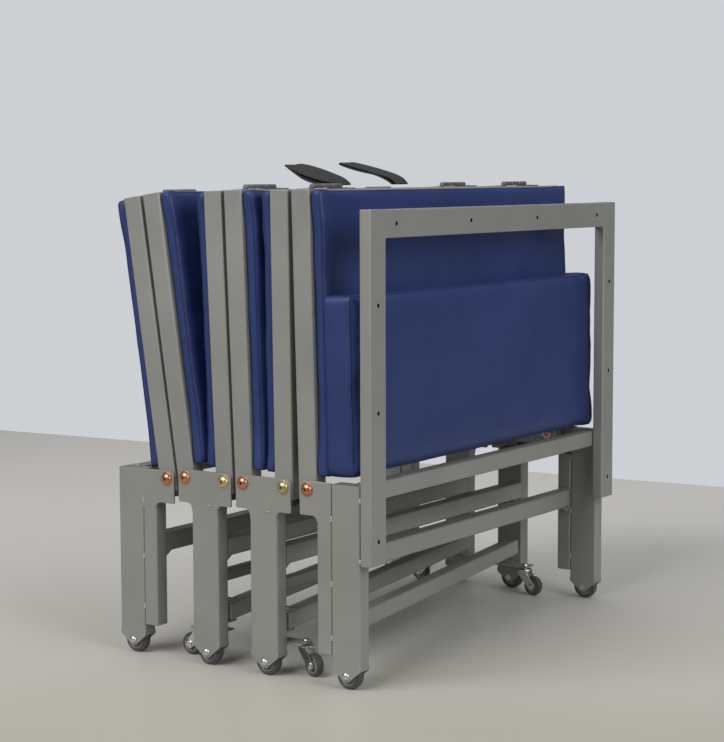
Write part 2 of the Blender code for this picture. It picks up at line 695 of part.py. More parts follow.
def strap(name, number, mat):
    """A webbing loop held on the pair's hinged end, standing up towards the foot end."""
    pair = PAIR_OF[number]
    x, z = HINGES[pair]
    base = z + 0.0010
    rise = 0.0205
    middle = STRAP_Y[pair]
    upper = [(0.005, 0.0), (0.001, 0.0080), (-0.014, 0.0145), (-0.038, rise), (-STRAP_LENGTH + 0.006, rise + 0.004)]
    tip = [(-STRAP_LENGTH, rise + 0.0030)]
    lower = [(-STRAP_LENGTH + 0.006, rise - 0.001), (-0.048, rise - 0.0090), (-0.028, 0.0060), (-0.012, 0.0)]
    outer = upper + tip + lower
    inner = [(-0.004, STRAP_THICK), (-0.009, 0.0075), (-0.018, 0.0115), (-0.038, rise - 0.0025),
             (-STRAP_LENGTH + 0.016, rise), (-0.048, rise - 0.0055), (-0.027, 0.0085)]
    body = slab([(x + px, base + pz) for px, pz in outer],
                middle - STRAP_WIDE / 2, middle + STRAP_WIDE / 2)
    hollow = slab([(x + px, base + pz) for px, pz in inner],
                  middle - STRAP_WIDE, middle + STRAP_WIDE)
    return finish(combine(name, [body], [hollow]), name, mat, origin=(x, middle, z))


# ---- assembly -----------------------------------------------------------------------------
def make_end_units():
    coat = material("foot_unit_coat", STEEL, 0.42)
    _, foot_leg = end_unit("foot_leg_frame", PIVOTS[1], FOOT_EAR, -1, coat)
    coat = material("head_unit_coat", STEEL, 0.42)
    _, head_leg = end_unit("head_leg_frame", PIVOTS[6], HEAD_EAR, 1, coat)
    return foot_leg, head_leg


def make_middle_units():
    coat = material("middle_b_coat", STEEL, 0.42)
    middle_unit("middle_leg_frame_b", MIDDLE_B_X, [PIVOTS[2], PIVOTS[3]], -1, coat)
    coat = material("middle_c_coat", STEEL, 0.42)
    middle_unit("middle_leg_frame_c", MIDDLE_C_X, [PIVOTS[4], PIVOTS[5]], 1, coat)


def make_wheels(leg_places):
    for unit, x in leg_places.items():
        for side, word in zip(SIDES, ("near", "far")):
            tread = material("leg_wheel_%s_%s_grey" % (unit, word), WHEEL_GREY, 0.5)
            leg_wheel("leg_wheel_%s_%s" % (unit, word), x, side, tread)
            zinc = material("wheel_bolt_%s_%s_zinc" % (unit, word), ZINC, 0.3, 0.9)
            wheel_bolt("wheel_bolt_%s_%s" % (unit, word), x, side, zinc)


def make_pivot_bolts():
    for number in range(1, 7):
        colour = BRASS if number in (3, 5) else COPPER
        for side, word in zip(SIDES, ("near", "far")):
            name = "pivot_bolt_%d_%s" % (number, word)
            pivot_bolt(name, PIVOTS[number], side, material(name + "_plate", colour, 0.32, 0.9))


def make_panels():
    for number in range(1, 7):
        panel_frame(number, material("panel_%d_coat" % number, STEEL, 0.42))
        cushion(number, material("cushion_%d_vinyl" % number, VINYL, 0.38))
    pillow(material("pillow_vinyl", VINYL, 0.38))


def make_casters():
    places = (("b", MIDDLE_B_X, -1, (180, 180)), ("c", MIDDLE_C_X, 1, (-16, -8)))
    for unit, x, way, angles in places:
        for side, word, angle in zip(SIDES, ("near", "far"), angles):
            steel = material("caster_fork_%s_%s_zinc" % (unit, word), ZINC, 0.35, 0.8)
            caster_fork("caster_fork_%s_%s" % (unit, word), x, way, side, angle, steel)
            grey = material("caster_wheel_%s_%s_grey" % (unit, word), WHEEL_GREY, 0.5)
            caster_wheel("caster_wheel_%s_%s" % (unit, word), x, way, side, angle, grey)


def make_stays():
    inner = LEG_WIDE / 2 - STAY_WIDE / 2
    head_pin = PIVOTS[6][0] + HEAD_EAR + POST_WIDE - STAY_WIDE / 2
    for name, pin_x in (("stay_bar_b", MIDDLE_B_X + inner), ("stay_bar_c", MIDDLE_C_X + inner),
                        ("stay_bar_d", head_pin)):
        stay_bar(name, pin_x, material(name + "_coat", STEEL, 0.42))


def main():
    clear_scene()
    foot_leg, head_leg = make_end_units()
    make_middle_units()
    make_panels()
    headboard(material("headboard_coat", STEEL, 0.42))
    make_wheels({"a": foot_leg, "b": MIDDLE_B_X, "c": MIDDLE_C_X, "d": head_leg})
    make_pivot_bolts()
    make_casters()
    make_stays()
    strap("pull_strap_middle", 4, material("strap_middle_webbing", WEBBING, 0.8))
    strap("pull_strap_head", 6, material("strap_head_webbing", WEBBING, 0.8))


main()
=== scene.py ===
import json
import math

import bmesh
import bpy
from mathutils import Matrix, Vector, noise
from mathutils.bvhtree import BVHTree


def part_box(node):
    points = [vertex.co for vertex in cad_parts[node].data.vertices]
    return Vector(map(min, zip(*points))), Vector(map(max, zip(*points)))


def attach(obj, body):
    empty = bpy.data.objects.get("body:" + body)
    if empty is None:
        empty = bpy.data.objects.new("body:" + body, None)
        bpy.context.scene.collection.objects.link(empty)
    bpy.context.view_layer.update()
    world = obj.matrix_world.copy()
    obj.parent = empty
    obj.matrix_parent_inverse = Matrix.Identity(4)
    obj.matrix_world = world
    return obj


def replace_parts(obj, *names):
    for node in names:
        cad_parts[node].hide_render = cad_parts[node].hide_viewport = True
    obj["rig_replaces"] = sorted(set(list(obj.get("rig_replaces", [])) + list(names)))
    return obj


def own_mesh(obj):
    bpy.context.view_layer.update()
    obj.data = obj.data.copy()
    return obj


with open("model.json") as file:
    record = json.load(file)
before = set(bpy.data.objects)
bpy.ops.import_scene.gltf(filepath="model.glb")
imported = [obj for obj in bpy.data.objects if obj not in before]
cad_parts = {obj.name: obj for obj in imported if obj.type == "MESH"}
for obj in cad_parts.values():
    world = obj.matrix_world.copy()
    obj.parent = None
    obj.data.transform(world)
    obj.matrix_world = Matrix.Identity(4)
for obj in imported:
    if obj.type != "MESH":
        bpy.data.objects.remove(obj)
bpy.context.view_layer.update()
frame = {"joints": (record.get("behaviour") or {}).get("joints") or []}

bpy.context.scene.view_settings.view_transform = "Standard"

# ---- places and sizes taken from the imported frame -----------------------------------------
JOINT = {j["name"]: j for j in frame["joints"]}
UNIT_OF = {6: "head_unit", 5: "middle_unit_c", 4: "middle_unit_c",
           3: "middle_unit_b", 2: "middle_unit_b", 1: "foot_unit"}
PAIR = {6: "head", 5: "head", 4: "middle", 3: "middle", 2: "foot", 1: "foot"}


def xz(name):
    p = JOINT[name]["pos_m"]
    return p[0], p[2]


PIVOT = {n: xz("fold_%s_panel_%d" % (PAIR[n], n)) for n in range(1, 7)}
HINGE = {p: xz("leaf_hinge_" + p) for p in ("head", "middle", "foot")}
SIDE = {"near": -1, "far": 1}
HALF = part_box("head_leg_frame")[1][1]            # half the bed's width
PANEL_T = 0.024                                  # a panel frame's thickness
PANEL_L = 0.3220                                 # pivot to a panel's hinged end
HEEL = 0.0200                                    # how far a panel runs past its pivot
AXIS_OUT = 0.0142                                # hinge axis to a panel's mid plane
AXIS_UP = 0.0032                                 # hinge axis above the panels' ends
PLATE = 0.0025                                   # the units' side plates
SHIFT = -0.0020                                  # a panel's mid plane from its pivot
RAIL = 0.020                                     # a panel tube's width
RAIL_OUTER = HALF - PLATE - 0.0006
LEG_DEEP = 0.019                                 # a leg tube across the bed
LEG_HALF = 0.0185                                # half a leg tube along the bed
POST_FOOT = 0.036                                # the floor to the open end of the post beside a leg
WHEEL_R = 0.0155
CASTER_R = 0.0128
PAD_Y = (-0.2757, 0.2762)                        # a pad's near and far ends
PAD_TOP_IN = 0.0070                              # how far a pad's far edge runs in at the top


def lean(n):
    """How far panel n tips towards the foot end, from its two axes."""
    px, pz = PIVOT[n]
    hx, hz = HINGE[PAIR[n]]
    tilt = math.atan2(px - hx, hz - pz)
    out = SHIFT - AXIS_OUT if n % 2 == 0 else SHIFT + AXIS_OUT
    return tilt + math.atan2(out, PANEL_L + AXIS_UP)


def panel_matrix(n):
    px, pz = PIVOT[n]
    tilt = Matrix.Rotation(-lean(n), 4, "Y")
    return Matrix.Translation((px, 0, pz)) @ tilt @ Matrix.Translation((SHIFT, 0, 0))


# ---- materials ------------------------------------------------------------------------------
def new_material(name):
    mat = bpy.data.materials.new(name)
    mat.use_nodes = True
    nodes, links = mat.node_tree.nodes, mat.node_tree.links
    shader = nodes["Principled BSDF"]
    coords = nodes.new("ShaderNodeTexCoord").outputs["Object"]
    return mat, nodes, links, shader, coords


def noise_of(nodes, links, coords, scale, detail=3.0, rough=0.5, stretch=None):
    if stretch is not None:
        mapping = nodes.new("ShaderNodeMapping")
        mapping.inputs["Scale"].default_value = stretch
        links.new(coords, mapping.inputs["Vector"])
        coords = mapping.outputs["Vector"]
    tex = nodes.new("ShaderNodeTexNoise")
    tex.inputs["Scale"].default_value = scale
    tex.inputs["Detail"].default_value = detail
    tex.inputs["Roughness"].default_value = rough
    links.new(coords, tex.inputs["Vector"])
    return tex.outputs["Fac"]


def ramp_of(nodes, links, fac, stops):
    ramp = nodes.new("ShaderNodeValToRGB")
    while len(ramp.color_ramp.elements) < len(stops):
        ramp.color_ramp.elements.new(0.5)
    for element, (at, colour) in zip(ramp.color_ramp.elements, stops):
        element.position = at
        element.color = (*colour, 1.0)
    links.new(fac, ramp.inputs["Fac"])
    return ramp.outputs["Color"]


def range_of(nodes, links, fac, low, high, from_low=0.3, from_high=0.7):
    m = nodes.new("ShaderNodeMapRange")
    m.inputs["From Min"].default_value = from_low
    m.inputs["From Max"].default_value = from_high
    m.inputs["To Min"].default_value = low
    m.inputs["To Max"].default_value = high
    links.new(fac, m.inputs["Value"])
    return m.outputs["Result"]


def bump_of(nodes, links, height, strength, distance, onto=None):
    b = nodes.new("ShaderNodeBump")
    b.inputs["Strength"].default_value = strength
    b.inputs["Distance"].default_value = distance
    links.new(height, b.inputs["Height"])
    if onto is not None:
        links.new(onto, b.inputs["Normal"])
    return b.outputs["Normal"]


def powder_coat(name, tone=1.0):
    """Silver-grey powder coat: fine orange peel, faint mottling, a little sparkle."""
    mat, nodes, links, shader, coords = new_material(name)
    broad = noise_of(nodes, links, coords, 9.0, 4.0, 0.6)
    low = tuple(tone * c for c in (0.262, 0.264, 0.252))
    high = tuple(tone * c for c in (0.300, 0.302, 0.290))
    colour = ramp_of(nodes, links, broad, [(0.30, low), (0.72, high)])
    links.new(colour, shader.inputs["Base Color"])
    shader.inputs["Metallic"].default_value = 0.30
    shader.inputs["Specular IOR Level"].default_value = 0.45
    fine = noise_of(nodes, links, coords, 1400.0, 2.0)
    links.new(range_of(nodes, links, broad, 0.36, 0.46), shader.inputs["Roughness"])
    peel = bump_of(nodes, links, fine, 0.10, 0.0004)
    soft = noise_of(nodes, links, coords, 140.0, 2.0)
    links.new(bump_of(nodes, links, soft, 0.06, 0.0008, peel), shader.inputs["Normal"])
    return mat


def vinyl(name, tone=1.0):
    """Blue upholstery vinyl: pebbled grain, soft pulls, satin gloss."""
    mat, nodes, links, shader, coords = new_material(name)
    broad = noise_of(nodes, links, coords, 7.0, 3.0, 0.55)
    low = tuple(tone * c for c in (0.019, 0.034, 0.124))
    high = tuple(tone * c for c in (0.025, 0.044, 0.158))
    links.new(ramp_of(nodes, links, broad, [(0.30, low), (0.72, high)]), shader.inputs["Base Color"])
    shader.inputs["Specular IOR Level"].default_value = 0.30
    links.new(range_of(nodes, links, broad, 0.40, 0.50), shader.inputs["Roughness"])
    cells = nodes.new("ShaderNodeTexVoronoi")
    cells.feature = "DISTANCE_TO_EDGE"
    cells.inputs["Scale"].default_value = 900.0
    links.new(coords, cells.inputs["Vector"])
    grain = bump_of(nodes, links, cells.outputs["Distance"], 0.16, 0.0003)
    pulls = noise_of(nodes, links, coords, 16.0, 3.0, 0.55, (1.0, 1.0, 2.2))
    links.new(bump_of(nodes, links, pulls, 0.16, 0.006, grain), shader.inputs["Normal"])
    return mat


def plain(name, colour, rough, metallic=0.0, scale=60.0, vary=0.12, bump=0.05, depth=0.0003):
    """Rubber, plated steel, plastics and the painted shade inside holes: a toned noise, with bump from the
    same noise.
    """
    mat, nodes, links, shader, coords = new_material(name)
    fac = noise_of(nodes, links, coords, scale, 3.0)
    low = tuple(c * (1 - vary) for c in colour)
    high = tuple(c * (1 + vary) for c in colour)
    links.new(ramp_of(nodes, links, fac, [(0.30, low), (0.70, high)]), shader.inputs["Base Color"])
    shader.inputs["Metallic"].default_value = metallic
    links.new(range_of(nodes, links, fac, rough * 0.85, min(1.0, rough * 1.2)), shader.inputs["Roughness"])
    links.new(bump_of(nodes, links, fac, bump, depth), shader.inputs["Normal"])
    return mat


def woven(name, colour):
    """Ribbed black webbing."""
    mat, nodes, links, shader, coords = new_material(name)
    wave = nodes.new("ShaderNodeTexWave")
    wave.inputs["Scale"].default_value = 180.0
    wave.bands_direction = "X"
    links.new(coords, wave.inputs["Vector"])
    cross = nodes.new("ShaderNodeTexWave")
    cross.inputs["Scale"].default_value = 240.0
    cross.bands_direction = "Y"
    links.new(coords, cross.inputs["Vector"])
    both = nodes.new("ShaderNodeMath")
    both.operation = "MULTIPLY"
    links.new(wave.outputs["Fac"], both.inputs[0])
    links.new(cross.outputs["Fac"], both.inputs[1])
    low = tuple(c * 0.7 for c in colour)
    high = tuple(c * 1.5 for c in colour)
    links.new(ramp_of(nodes, links, both.outputs[0], [(0.1, low), (0.9, high)]), shader.inputs["Base Color"])
    shader.inputs["Roughness"].default_value = 0.72
    links.new(bump_of(nodes, links, both.outputs[0], 0.35, 0.0005), shader.inputs["Normal"])
    return mat


STEEL = powder_coat("silver_powder_coat")
WELD = powder_coat("coated_weld", 1.25)
VINYL = vinyl("blue_vinyl")
PIPING = vinyl("blue_vinyl_seam", 0.80)
BACKING = plain("black_backing_cloth", (0.018, 0.018, 0.020), 0.85, scale=500.0, bump=0.3, depth=0.0005)
RUBBER = plain("black_rubber", (0.030, 0.030, 0.030), 0.62, scale=300.0, bump=0.15)
TREAD = plain("grey_black_tread", (0.060, 0.060, 0.058), 0.50, scale=260.0, bump=0.12)
HUB = plain("grey_plastic_hub", (0.240, 0.240, 0.230), 0.40, scale=90.0)
CHROME = plain("bright_plating", (0.620, 0.620, 0.600), 0.24, 0.95, scale=40.0, vary=0.06)
LEAF = plain("dull_plating", (0.230, 0.230, 0.225), 0.42, 0.80, scale=50.0, vary=0.15)
COPPER = plain("copper_plating", (0.560, 0.240, 0.150), 0.30, 0.90, scale=50.0, vary=0.10)
BRASS = plain("yellow_zinc", (0.500, 0.440, 0.230), 0.32, 0.90, scale=50.0, vary=0.12)
# Painted shade: a near-black colour for the insides of holes, recesses and open tube ends, standing in for
# the shade that falls there.
PAINTED_HOLE_SHADE = plain("inside_dark", (0.012, 0.012, 0.012), 0.80)
WEBBING = woven("black_webbing", (0.020, 0.020, 0.021))
THREAD = plain("grey_thread", (0.045, 0.045, 0.047), 0.70, scale=400.0)


# ---- mesh building --------------------------------------------------------------------------
SHARP = 42                                       # edges steeper than this many degrees stay crisp


def cube_of(lo, hi):
    bm = bmesh.new()
    bmesh.ops.create_cube(bm, size=1.0)
    bmesh.ops.scale(bm, vec=Vector([b - a for a, b in zip(lo, hi)]), verts=bm.verts)
    bmesh.ops.translate(bm, vec=(Vector(lo) + Vector(hi)) / 2, verts=bm.verts)
    return bm


def soften(bm, edges, offset, segs):
    bmesh.ops.bevel(bm, geom=edges, offset=offset, segments=segs, profile=0.5,
                    affect="EDGES", clamp_overlap=True)


def object_from(bm, name, mats=()):
    mesh = bpy.data.meshes.new(name)
    bm.to_mesh(mesh)
    bm.free()
    for mat in mats:
        mesh.materials.append(mat)
    obj = bpy.data.objects.new(name, mesh)
    bpy.context.scene.collection.objects.link(obj)
    return obj


class Shape:
    """Collects bevelled solids, each with a material, in one mesh."""

    def __init__(self):
        self.bm = bmesh.new()
        self.mats = []

    def add(self, part, mat, matrix=None):
        if mat not in self.mats:
            self.mats.append(mat)
        index = self.mats.index(mat)
        if matrix is not None:
            bmesh.ops.transform(part, matrix=matrix, verts=part.verts)
        bmesh.ops.recalc_face_normals(part, faces=part.faces)
        for face in part.faces:
            face.material_index = index
            face.smooth = True
        mesh = bpy.data.meshes.new("part")
        part.to_mesh(mesh)
        part.free()
        self.bm.from_mesh(mesh)
        bpy.data.meshes.remove(mesh)

    def block(self, lo, hi, mat, r=0.0012, segs=3, axis=None, end=0.0005, matrix=None):
        """A box; with an axis it is a tube whose long edges are rounded by r."""
        part = cube_of(lo, hi)
        if axis is None:
            soften(part, list(part.edges), r, segs)
        else:
            i = "xyz".index(axis)
            longest = (hi[i] - lo[i]) * 0.9
            longs = [e for e in part.edges if abs((e.verts[0].co - e.verts[1].co)[i]) > longest]
            soften(part, longs, r, segs)
            if end > 0:
                ends = [e for e in part.edges if len(e.link_faces) == 2 and
                        abs((e.verts[0].co - e.verts[1].co)[i]) < 1e-7 and
                        any(abs(f.normal[i]) > 0.9 for f in e.link_faces)]
                soften(part, ends, end, 2)
        self.add(part, mat, matrix)

    def prism(self, outline, y0, y1, mat, r=0.0006, segs=2, matrix=None):
        """An (x, z) outline pushed from y0 to y1, with softened edges."""
        part = bmesh.new()
        face = part.faces.new([part.verts.new((x, y0, z)) for x, z in outline])
        grown = bmesh.ops.extrude_face_region(part, geom=[face])
        moved = [v for v in grown["geom"] if isinstance(v, bmesh.types.BMVert)]
        bmesh.ops.translate(part, vec=(0, y1 - y0, 0), verts=moved)
        if r > 0:
            rim = [e for e in part.edges if abs(e.verts[0].co.y - e.verts[1].co.y) < 1e-7]
            soften(part, rim, r, segs)
        self.add(part, mat, matrix)

    def lathe(self, profile, mat, matrix=None, steps=32):
        """(radius, along) points turned about local Z."""
        part = bmesh.new()
        rings = []
        for r, z in profile:
            if r < 1e-7:
                rings.append([part.verts.new((0, 0, z))])
            else:
                rings.append([part.verts.new((r * math.cos(2 * math.pi * i / steps),
                                              r * math.sin(2 * math.pi * i / steps), z))
                              for i in range(steps)])
        for a, b in zip(rings, rings[1:]):
            for i in range(steps):
                j = (i + 1) % steps
                if len(a) == 1 and len(b) > 1:
                    part.faces.new((a[0], b[i], b[j]))
                elif len(b) == 1 and len(a) > 1:
                    part.faces.new((a[i], b[0], a[j]))
                elif len(a) > 1:
                    part.faces.new((a[i], b[i], b[j], a[j]))
        self.add(part, mat, matrix)

    def bead(self, start, finish, radius, mat, ripples=5):
        """A weld bead: overlapping flattened drops."""
        a, b = Vector(start), Vector(finish)
        for i in range(ripples):
            t = (i + 0.5) / ripples
            part = bmesh.new()
            uneven = 0.92 + 0.16 * noise.noise(a * 900 + Vector((i, 0, 0)))
            bmesh.ops.create_icosphere(part, subdivisions=2, radius=radius * uneven)
            self.add(part, mat, Matrix.Translation(a.lerp(b, t)))

    def wire(self, points, radius, mat, matrix=None, sides=8, closed=False):
        """A round strand along a path."""
        part = bmesh.new()
        pts = [Vector(p) for p in points]
        count = len(pts)
        rings = []
        up = Vector((0.13, 0.21, 1.0)).normalized()
        for i, p in enumerate(pts):
            ahead = pts[(i + 1) % count] if closed or i + 1 < count else p
            behind = pts[i - 1] if closed or i > 0 else p
            along = (ahead - behind).normalized()
            across = along.cross(up)
            if across.length < 0.05:
                across = along.cross(Vector((1, 0, 0)))
            across.normalize()
            other = across.cross(along).normalized()
            rings.append([part.verts.new(p + radius * (math.cos(2 * math.pi * k / sides) * across +
                                                      math.sin(2 * math.pi * k / sides) * other))
                          for k in range(sides)])
        pairs = list(zip(rings, rings[1:]))
        if closed:
            pairs.append((rings[-1], rings[0]))
        for a, b in pairs:
            for k in range(sides):
                j = (k + 1) % sides
                part.faces.new((a[k], b[k], b[j], a[j]))
        if not closed:
            part.faces.new(rings[0])
            part.faces.new(list(reversed(rings[-1])))
        self.add(part, mat, matrix)

    def make_plain(self, name):
        return object_from(self.bm, name, self.mats)

    def make(self, name, body, *nodes, weighted=True):
        obj = self.make_plain(name)
        obj.data.set_sharp_from_angle(angle=math.radians(SHARP))
        if weighted:
            wn = obj.modifiers.new("normals", "WEIGHTED_NORMAL")
            wn.keep_sharp = True
            apply_modifiers(obj)
        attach(obj, body)
        if nodes:
            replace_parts(obj, *nodes)
        return obj


def apply_modifiers(obj):
    bpy.context.view_layer.update()
    graph = bpy.context.evaluated_depsgraph_get()
    mesh = bpy.data.meshes.new_from_object(obj.evaluated_get(graph))
    obj.modifiers.clear()
    old = obj.data
    obj.data = mesh
    mesh.name = obj.name
    if old.users == 0:
        bpy.data.meshes.remove(old)


def cut(obj, cutters):
    for cutter in cutters:
        step = obj.modifiers.new("cut", "BOOLEAN")
        step.operation = "DIFFERENCE"
        step.solver = "EXACT"
        step.material_mode = "TRANSFER"
        step.object = cutter
    apply_modifiers(obj)
    for cutter in cutters:
        bpy.data.objects.remove(cutter, do_unlink=True)


def cutter_rod(radius, start, finish, mat, steps=24):
    bm = bmesh.new()
    a, b = Vector(start), Vector(finish)
    bmesh.ops.create_cone(bm, cap_ends=True, segments=steps, radius1=radius, radius2=radius,
                          depth=(b - a).length)
    turn = (b - a).to_track_quat("Z", "Y").to_matrix().to_4x4()
    bmesh.ops.transform(bm, matrix=Matrix.Translation((a + b) / 2) @ turn, verts=bm.verts)
    return object_from(bm, "cutter", [mat])


def arc(cx, cz, r, start, end, steps=6):
    return [(cx + r * math.cos(math.radians(start + (end - start) * i / steps)),
             cz + r * math.sin(math.radians(start + (end - start) * i / steps)))
            for i in range(steps + 1)]


def ys(side, outer, inner):
    return sorted((side * (HALF - outer), side * (HALF - inner)))


# ---- leg units ------------------------------------------------------------------------------
CORNER = 0.0220                                  # a foot's walls end and its cheeks taper from here


def leg(shape, x, top, side, half=LEG_HALF):
    """A rectangular tube with a wheel slot and tapered cheeks at its foot."""
    lo, hi = ys(side, 0.0, LEG_DEEP)
    shape.block((x - half, lo, CORNER), (x + half, hi, top), STEEL, r=0.0026, segs=4, axis="z")
    # Painted shade: a near-black sheet inside the open foot, where the tube's inside is in shade.
    lo, hi = ys(side, 0.0022, LEG_DEEP - 0.0022)
    shape.block((x - half + 0.0020, lo, CORNER - 0.0006), (x + half - 0.0020, hi, CORNER + 0.0010),
                PAINTED_HOLE_SHADE, r=0.0002, segs=1)
    cheek = [(x - half, CORNER + 0.005), (x - half, CORNER + 0.0006), (x - half + 0.0012, CORNER - 0.0012)]
    cheek += arc(x, WHEEL_R, 0.0068, 222, 318, 8)
    cheek += [(x + half - 0.0012, CORNER - 0.0012), (x + half, CORNER + 0.0006), (x + half, CORNER + 0.005)]
    for a, b in ((0.00005, 0.0025), (LEG_DEEP - 0.0025, LEG_DEEP - 0.00005)):
        lo, hi = ys(side, a, b)
        shape.prism(cheek, lo, hi, STEEL, r=0.0006)


def post(shape, x0, x1, top, side):
    """The narrow tube beside an end unit's leg, open at its foot."""
    lo, hi = ys(side, 0.0, LEG_DEEP)
    shape.block((x0, lo, POST_FOOT), (x1, hi, top), STEEL, r=0.0024, segs=3, axis="z")
    # Painted shade: a near-black sheet just inside the open foot.
    shape.block((x0 + 0.0022, lo + 0.0022, POST_FOOT - 0.0008),
                (x1 - 0.0022, hi - 0.0022, POST_FOOT + 0.0005), PAINTED_HOLE_SHADE, r=0.0003, segs=1)


def tack(shape, x, y, z, tall, radius, mat):
    """A short upright weld."""
    shape.bead((x, y, z), (x, y, z + tall), radius, mat, 4)


def seam_tacks(shape, x, side, heights):
    """Tack welds on the outer and the inner face, up the seam between a leg and its post."""
    for z in heights:
        tack(shape, x, side * (HALF - 0.0004), z, 0.005, 0.0017, WELD)
        tack(shape, x, side * (HALF - LEG_DEEP + 0.0004), z, 0.005, 0.0017, STEEL)


def plate_t(shape, x, pz, side):
    """The T plate of a middle unit."""
    half = 0.0375
    top, low, r, stem = 0.0095, -0.028, 0.0065, 0.0183
    right = [(stem - 0.0025, low - r - 0.009), (stem - 0.0004, low - r - 0.002)]
    right += arc(stem + r, low - r, r, 180, 90)
    right += [(half - 0.0010, low), (half, low + 0.0010)]
    right += arc(half - r, top - r, r, 0, 90)
    left = [(-a, b) for a, b in reversed(right)]
    outline = [(x + a, pz + b) for a, b in right + left]
    lo, hi = ys(side, -0.00005, PLATE)
    shape.prism(outline, lo, hi, STEEL, r=0.0006)


def plate_end(shape, pivot, tube, direction, side, over=0.0):
    """The one-pivot ear of an end unit; over is how far it laps its legs."""
    px, pz = pivot
    t = (tube - px) * direction
    top, low, r = 0.0095, -0.028, 0.0065
    out = [(t + over, top)]
    out += arc(r - 0.010, top - r, r, 90, 180)
    out += [(-0.010, low + 0.001), (-0.009, low)]
    out += arc(t - r, low - r, r, 90, 0)
    out += [(t + over, low - r - 0.002)]
    if direction < 0:
        out = list(reversed(out))
    outline = [(px + direction * a, pz + b) for a, b in out]
    lo, hi = ys(side, -0.00005, PLATE)
    shape.prism(outline, lo, hi, STEEL, r=0.0006)


def bar(shape, x0, x1, z0, z1, r=0.0022):
    """A crossbar between the two sides, with weld beads at both ends."""
    reach = HALF - LEG_DEEP
    shape.block((x0, -reach, z0), (x1, reach, z1), STEEL, r=r, segs=3, axis="y", end=0)
    for s in (-1, 1):
        y = s * (reach - 0.0012)
        for z in (z0 - 0.0002, z1 + 0.0002):
            shape.bead((x0 + 0.004, y, z), (x1 - 0.004, y, z), 0.0017, STEEL, 5)


def gusset(shape, x0, x1, z, side):
    """The small triangular lug under a bar's end."""
    y0 = side * (HALF - LEG_DEEP)
    y1 = side * (HALF - LEG_DEEP - 0.014)
    part = bmesh.new()
    tri = [(y0, z), (y1, z), (y0, z - 0.0085)]
    a = [part.verts.new((x0, y, zz)) for y, zz in tri]
    b = [part.verts.new((x1, y, zz)) for y, zz in tri]
    part.faces.new(a)
    part.faces.new(list(reversed(b)))
    for i in range(3):
        j = (i + 1) % 3
        part.faces.new((a[i], a[j], b[j], b[i]))
    soften(part, list(part.edges), 0.0005, 2)
    shape.add(part, STEEL)


def stay_ears(shape, letter):
    """Ears and weld that hold a stay bar's pin on the near leg."""
    x = JOINT["stay_swing_" + letter]["pos_m"][0]
    lo, hi = ys(-1, LEG_DEEP - 0.0002, 0.035)
    for z in (0.0472, 0.0698):
        shape.block((x - 0.0080, lo, z), (x + 0.0080, hi, z + 0.0025), STEEL, r=0.0008, segs=2)
        y, mid = lo + 0.0006, z + 0.0012
        shape.bead((x - 0.0065, y, mid), (x + 0.0065, y, mid), 0.0016, STEEL, 5)


def caster_bracket(shape, x, way, side):
    """The flat plate that a caster hangs under, welded to the leg's inner face."""
    lo, hi = ys(side, LEG_DEEP - 0.0002, 0.0395)
    ends = sorted((x + way * 0.038, x - way * 0.010))
    shape.block((ends[0], lo, 0.0345), (ends[1], hi, 0.0370), STEEL, r=0.0008, segs=2)
    y = side * (HALF - LEG_DEEP - 0.0006)
    shape.bead((x - 0.008, y, 0.0373), (x + 0.008, y, 0.0373), 0.0014, STEEL, 6)


def head_unit():
    s = Shape()
    px, pz = PIVOT[6]
    post_x = px + 0.0125
    leg_x = JOINT["leg_wheel_spin_d_near"]["pos_m"][0]
    top = pz + 0.0085
    seam = post_x + LEG_DEEP
    for side in (-1, 1):
        leg(s, leg_x, top, side)
        post(s, post_x, seam, pz - 0.025, side)
        plate_end(s, PIVOT[6], post_x, 1, side, over=0.0186)
        seam_tacks(s, seam, side, (0.182, 0.111, 0.052))
        for z in (0.2050, 0.1400):
            tack(s, leg_x + LEG_HALF + 0.0001, side * (HALF - 0.0006), z, 0.004, 0.0018, WELD)
    right = leg_x + LEG_HALF
    bar(s, right - 0.0195, right - 0.0002, top - 0.0195, top - 0.0002)
    bar(s, post_x + 0.0002, post_x + 0.0188, 0.120, 0.142)
    for side in (-1, 1):
        gusset(s, post_x + 0.004, post_x + 0.015, 0.1201, side)
    stay_ears(s, "d")
    s.make("head_legs", "head_unit", "head_leg_frame")


def foot_unit():
    s = Shape()
    px, pz = PIVOT[1]
    post_x = px - 0.0165
    leg_x = JOINT["leg_wheel_spin_a_near"]["pos_m"][0]
    top = pz + 0.0085
    seam = post_x - LEG_DEEP
    for side in (-1, 1):
        leg(s, leg_x, top, side)
        post(s, seam, post_x, pz - 0.025, side)
        plate_end(s, PIVOT[1], post_x, -1, side, over=0.0250)
        seam_tacks(s, seam, side, (0.178, 0.113, 0.055))
    left = leg_x - LEG_HALF
    bar(s, left + 0.0002, left + 0.0195, top - 0.0195, top - 0.0002)
    bar(s, post_x - 0.0188, post_x - 0.0002, 0.120, 0.142)
    for side in (-1, 1):
        gusset(s, post_x - 0.015, post_x - 0.004, 0.1201, side)
    s.make("foot_legs", "foot_unit", "foot_leg_frame")


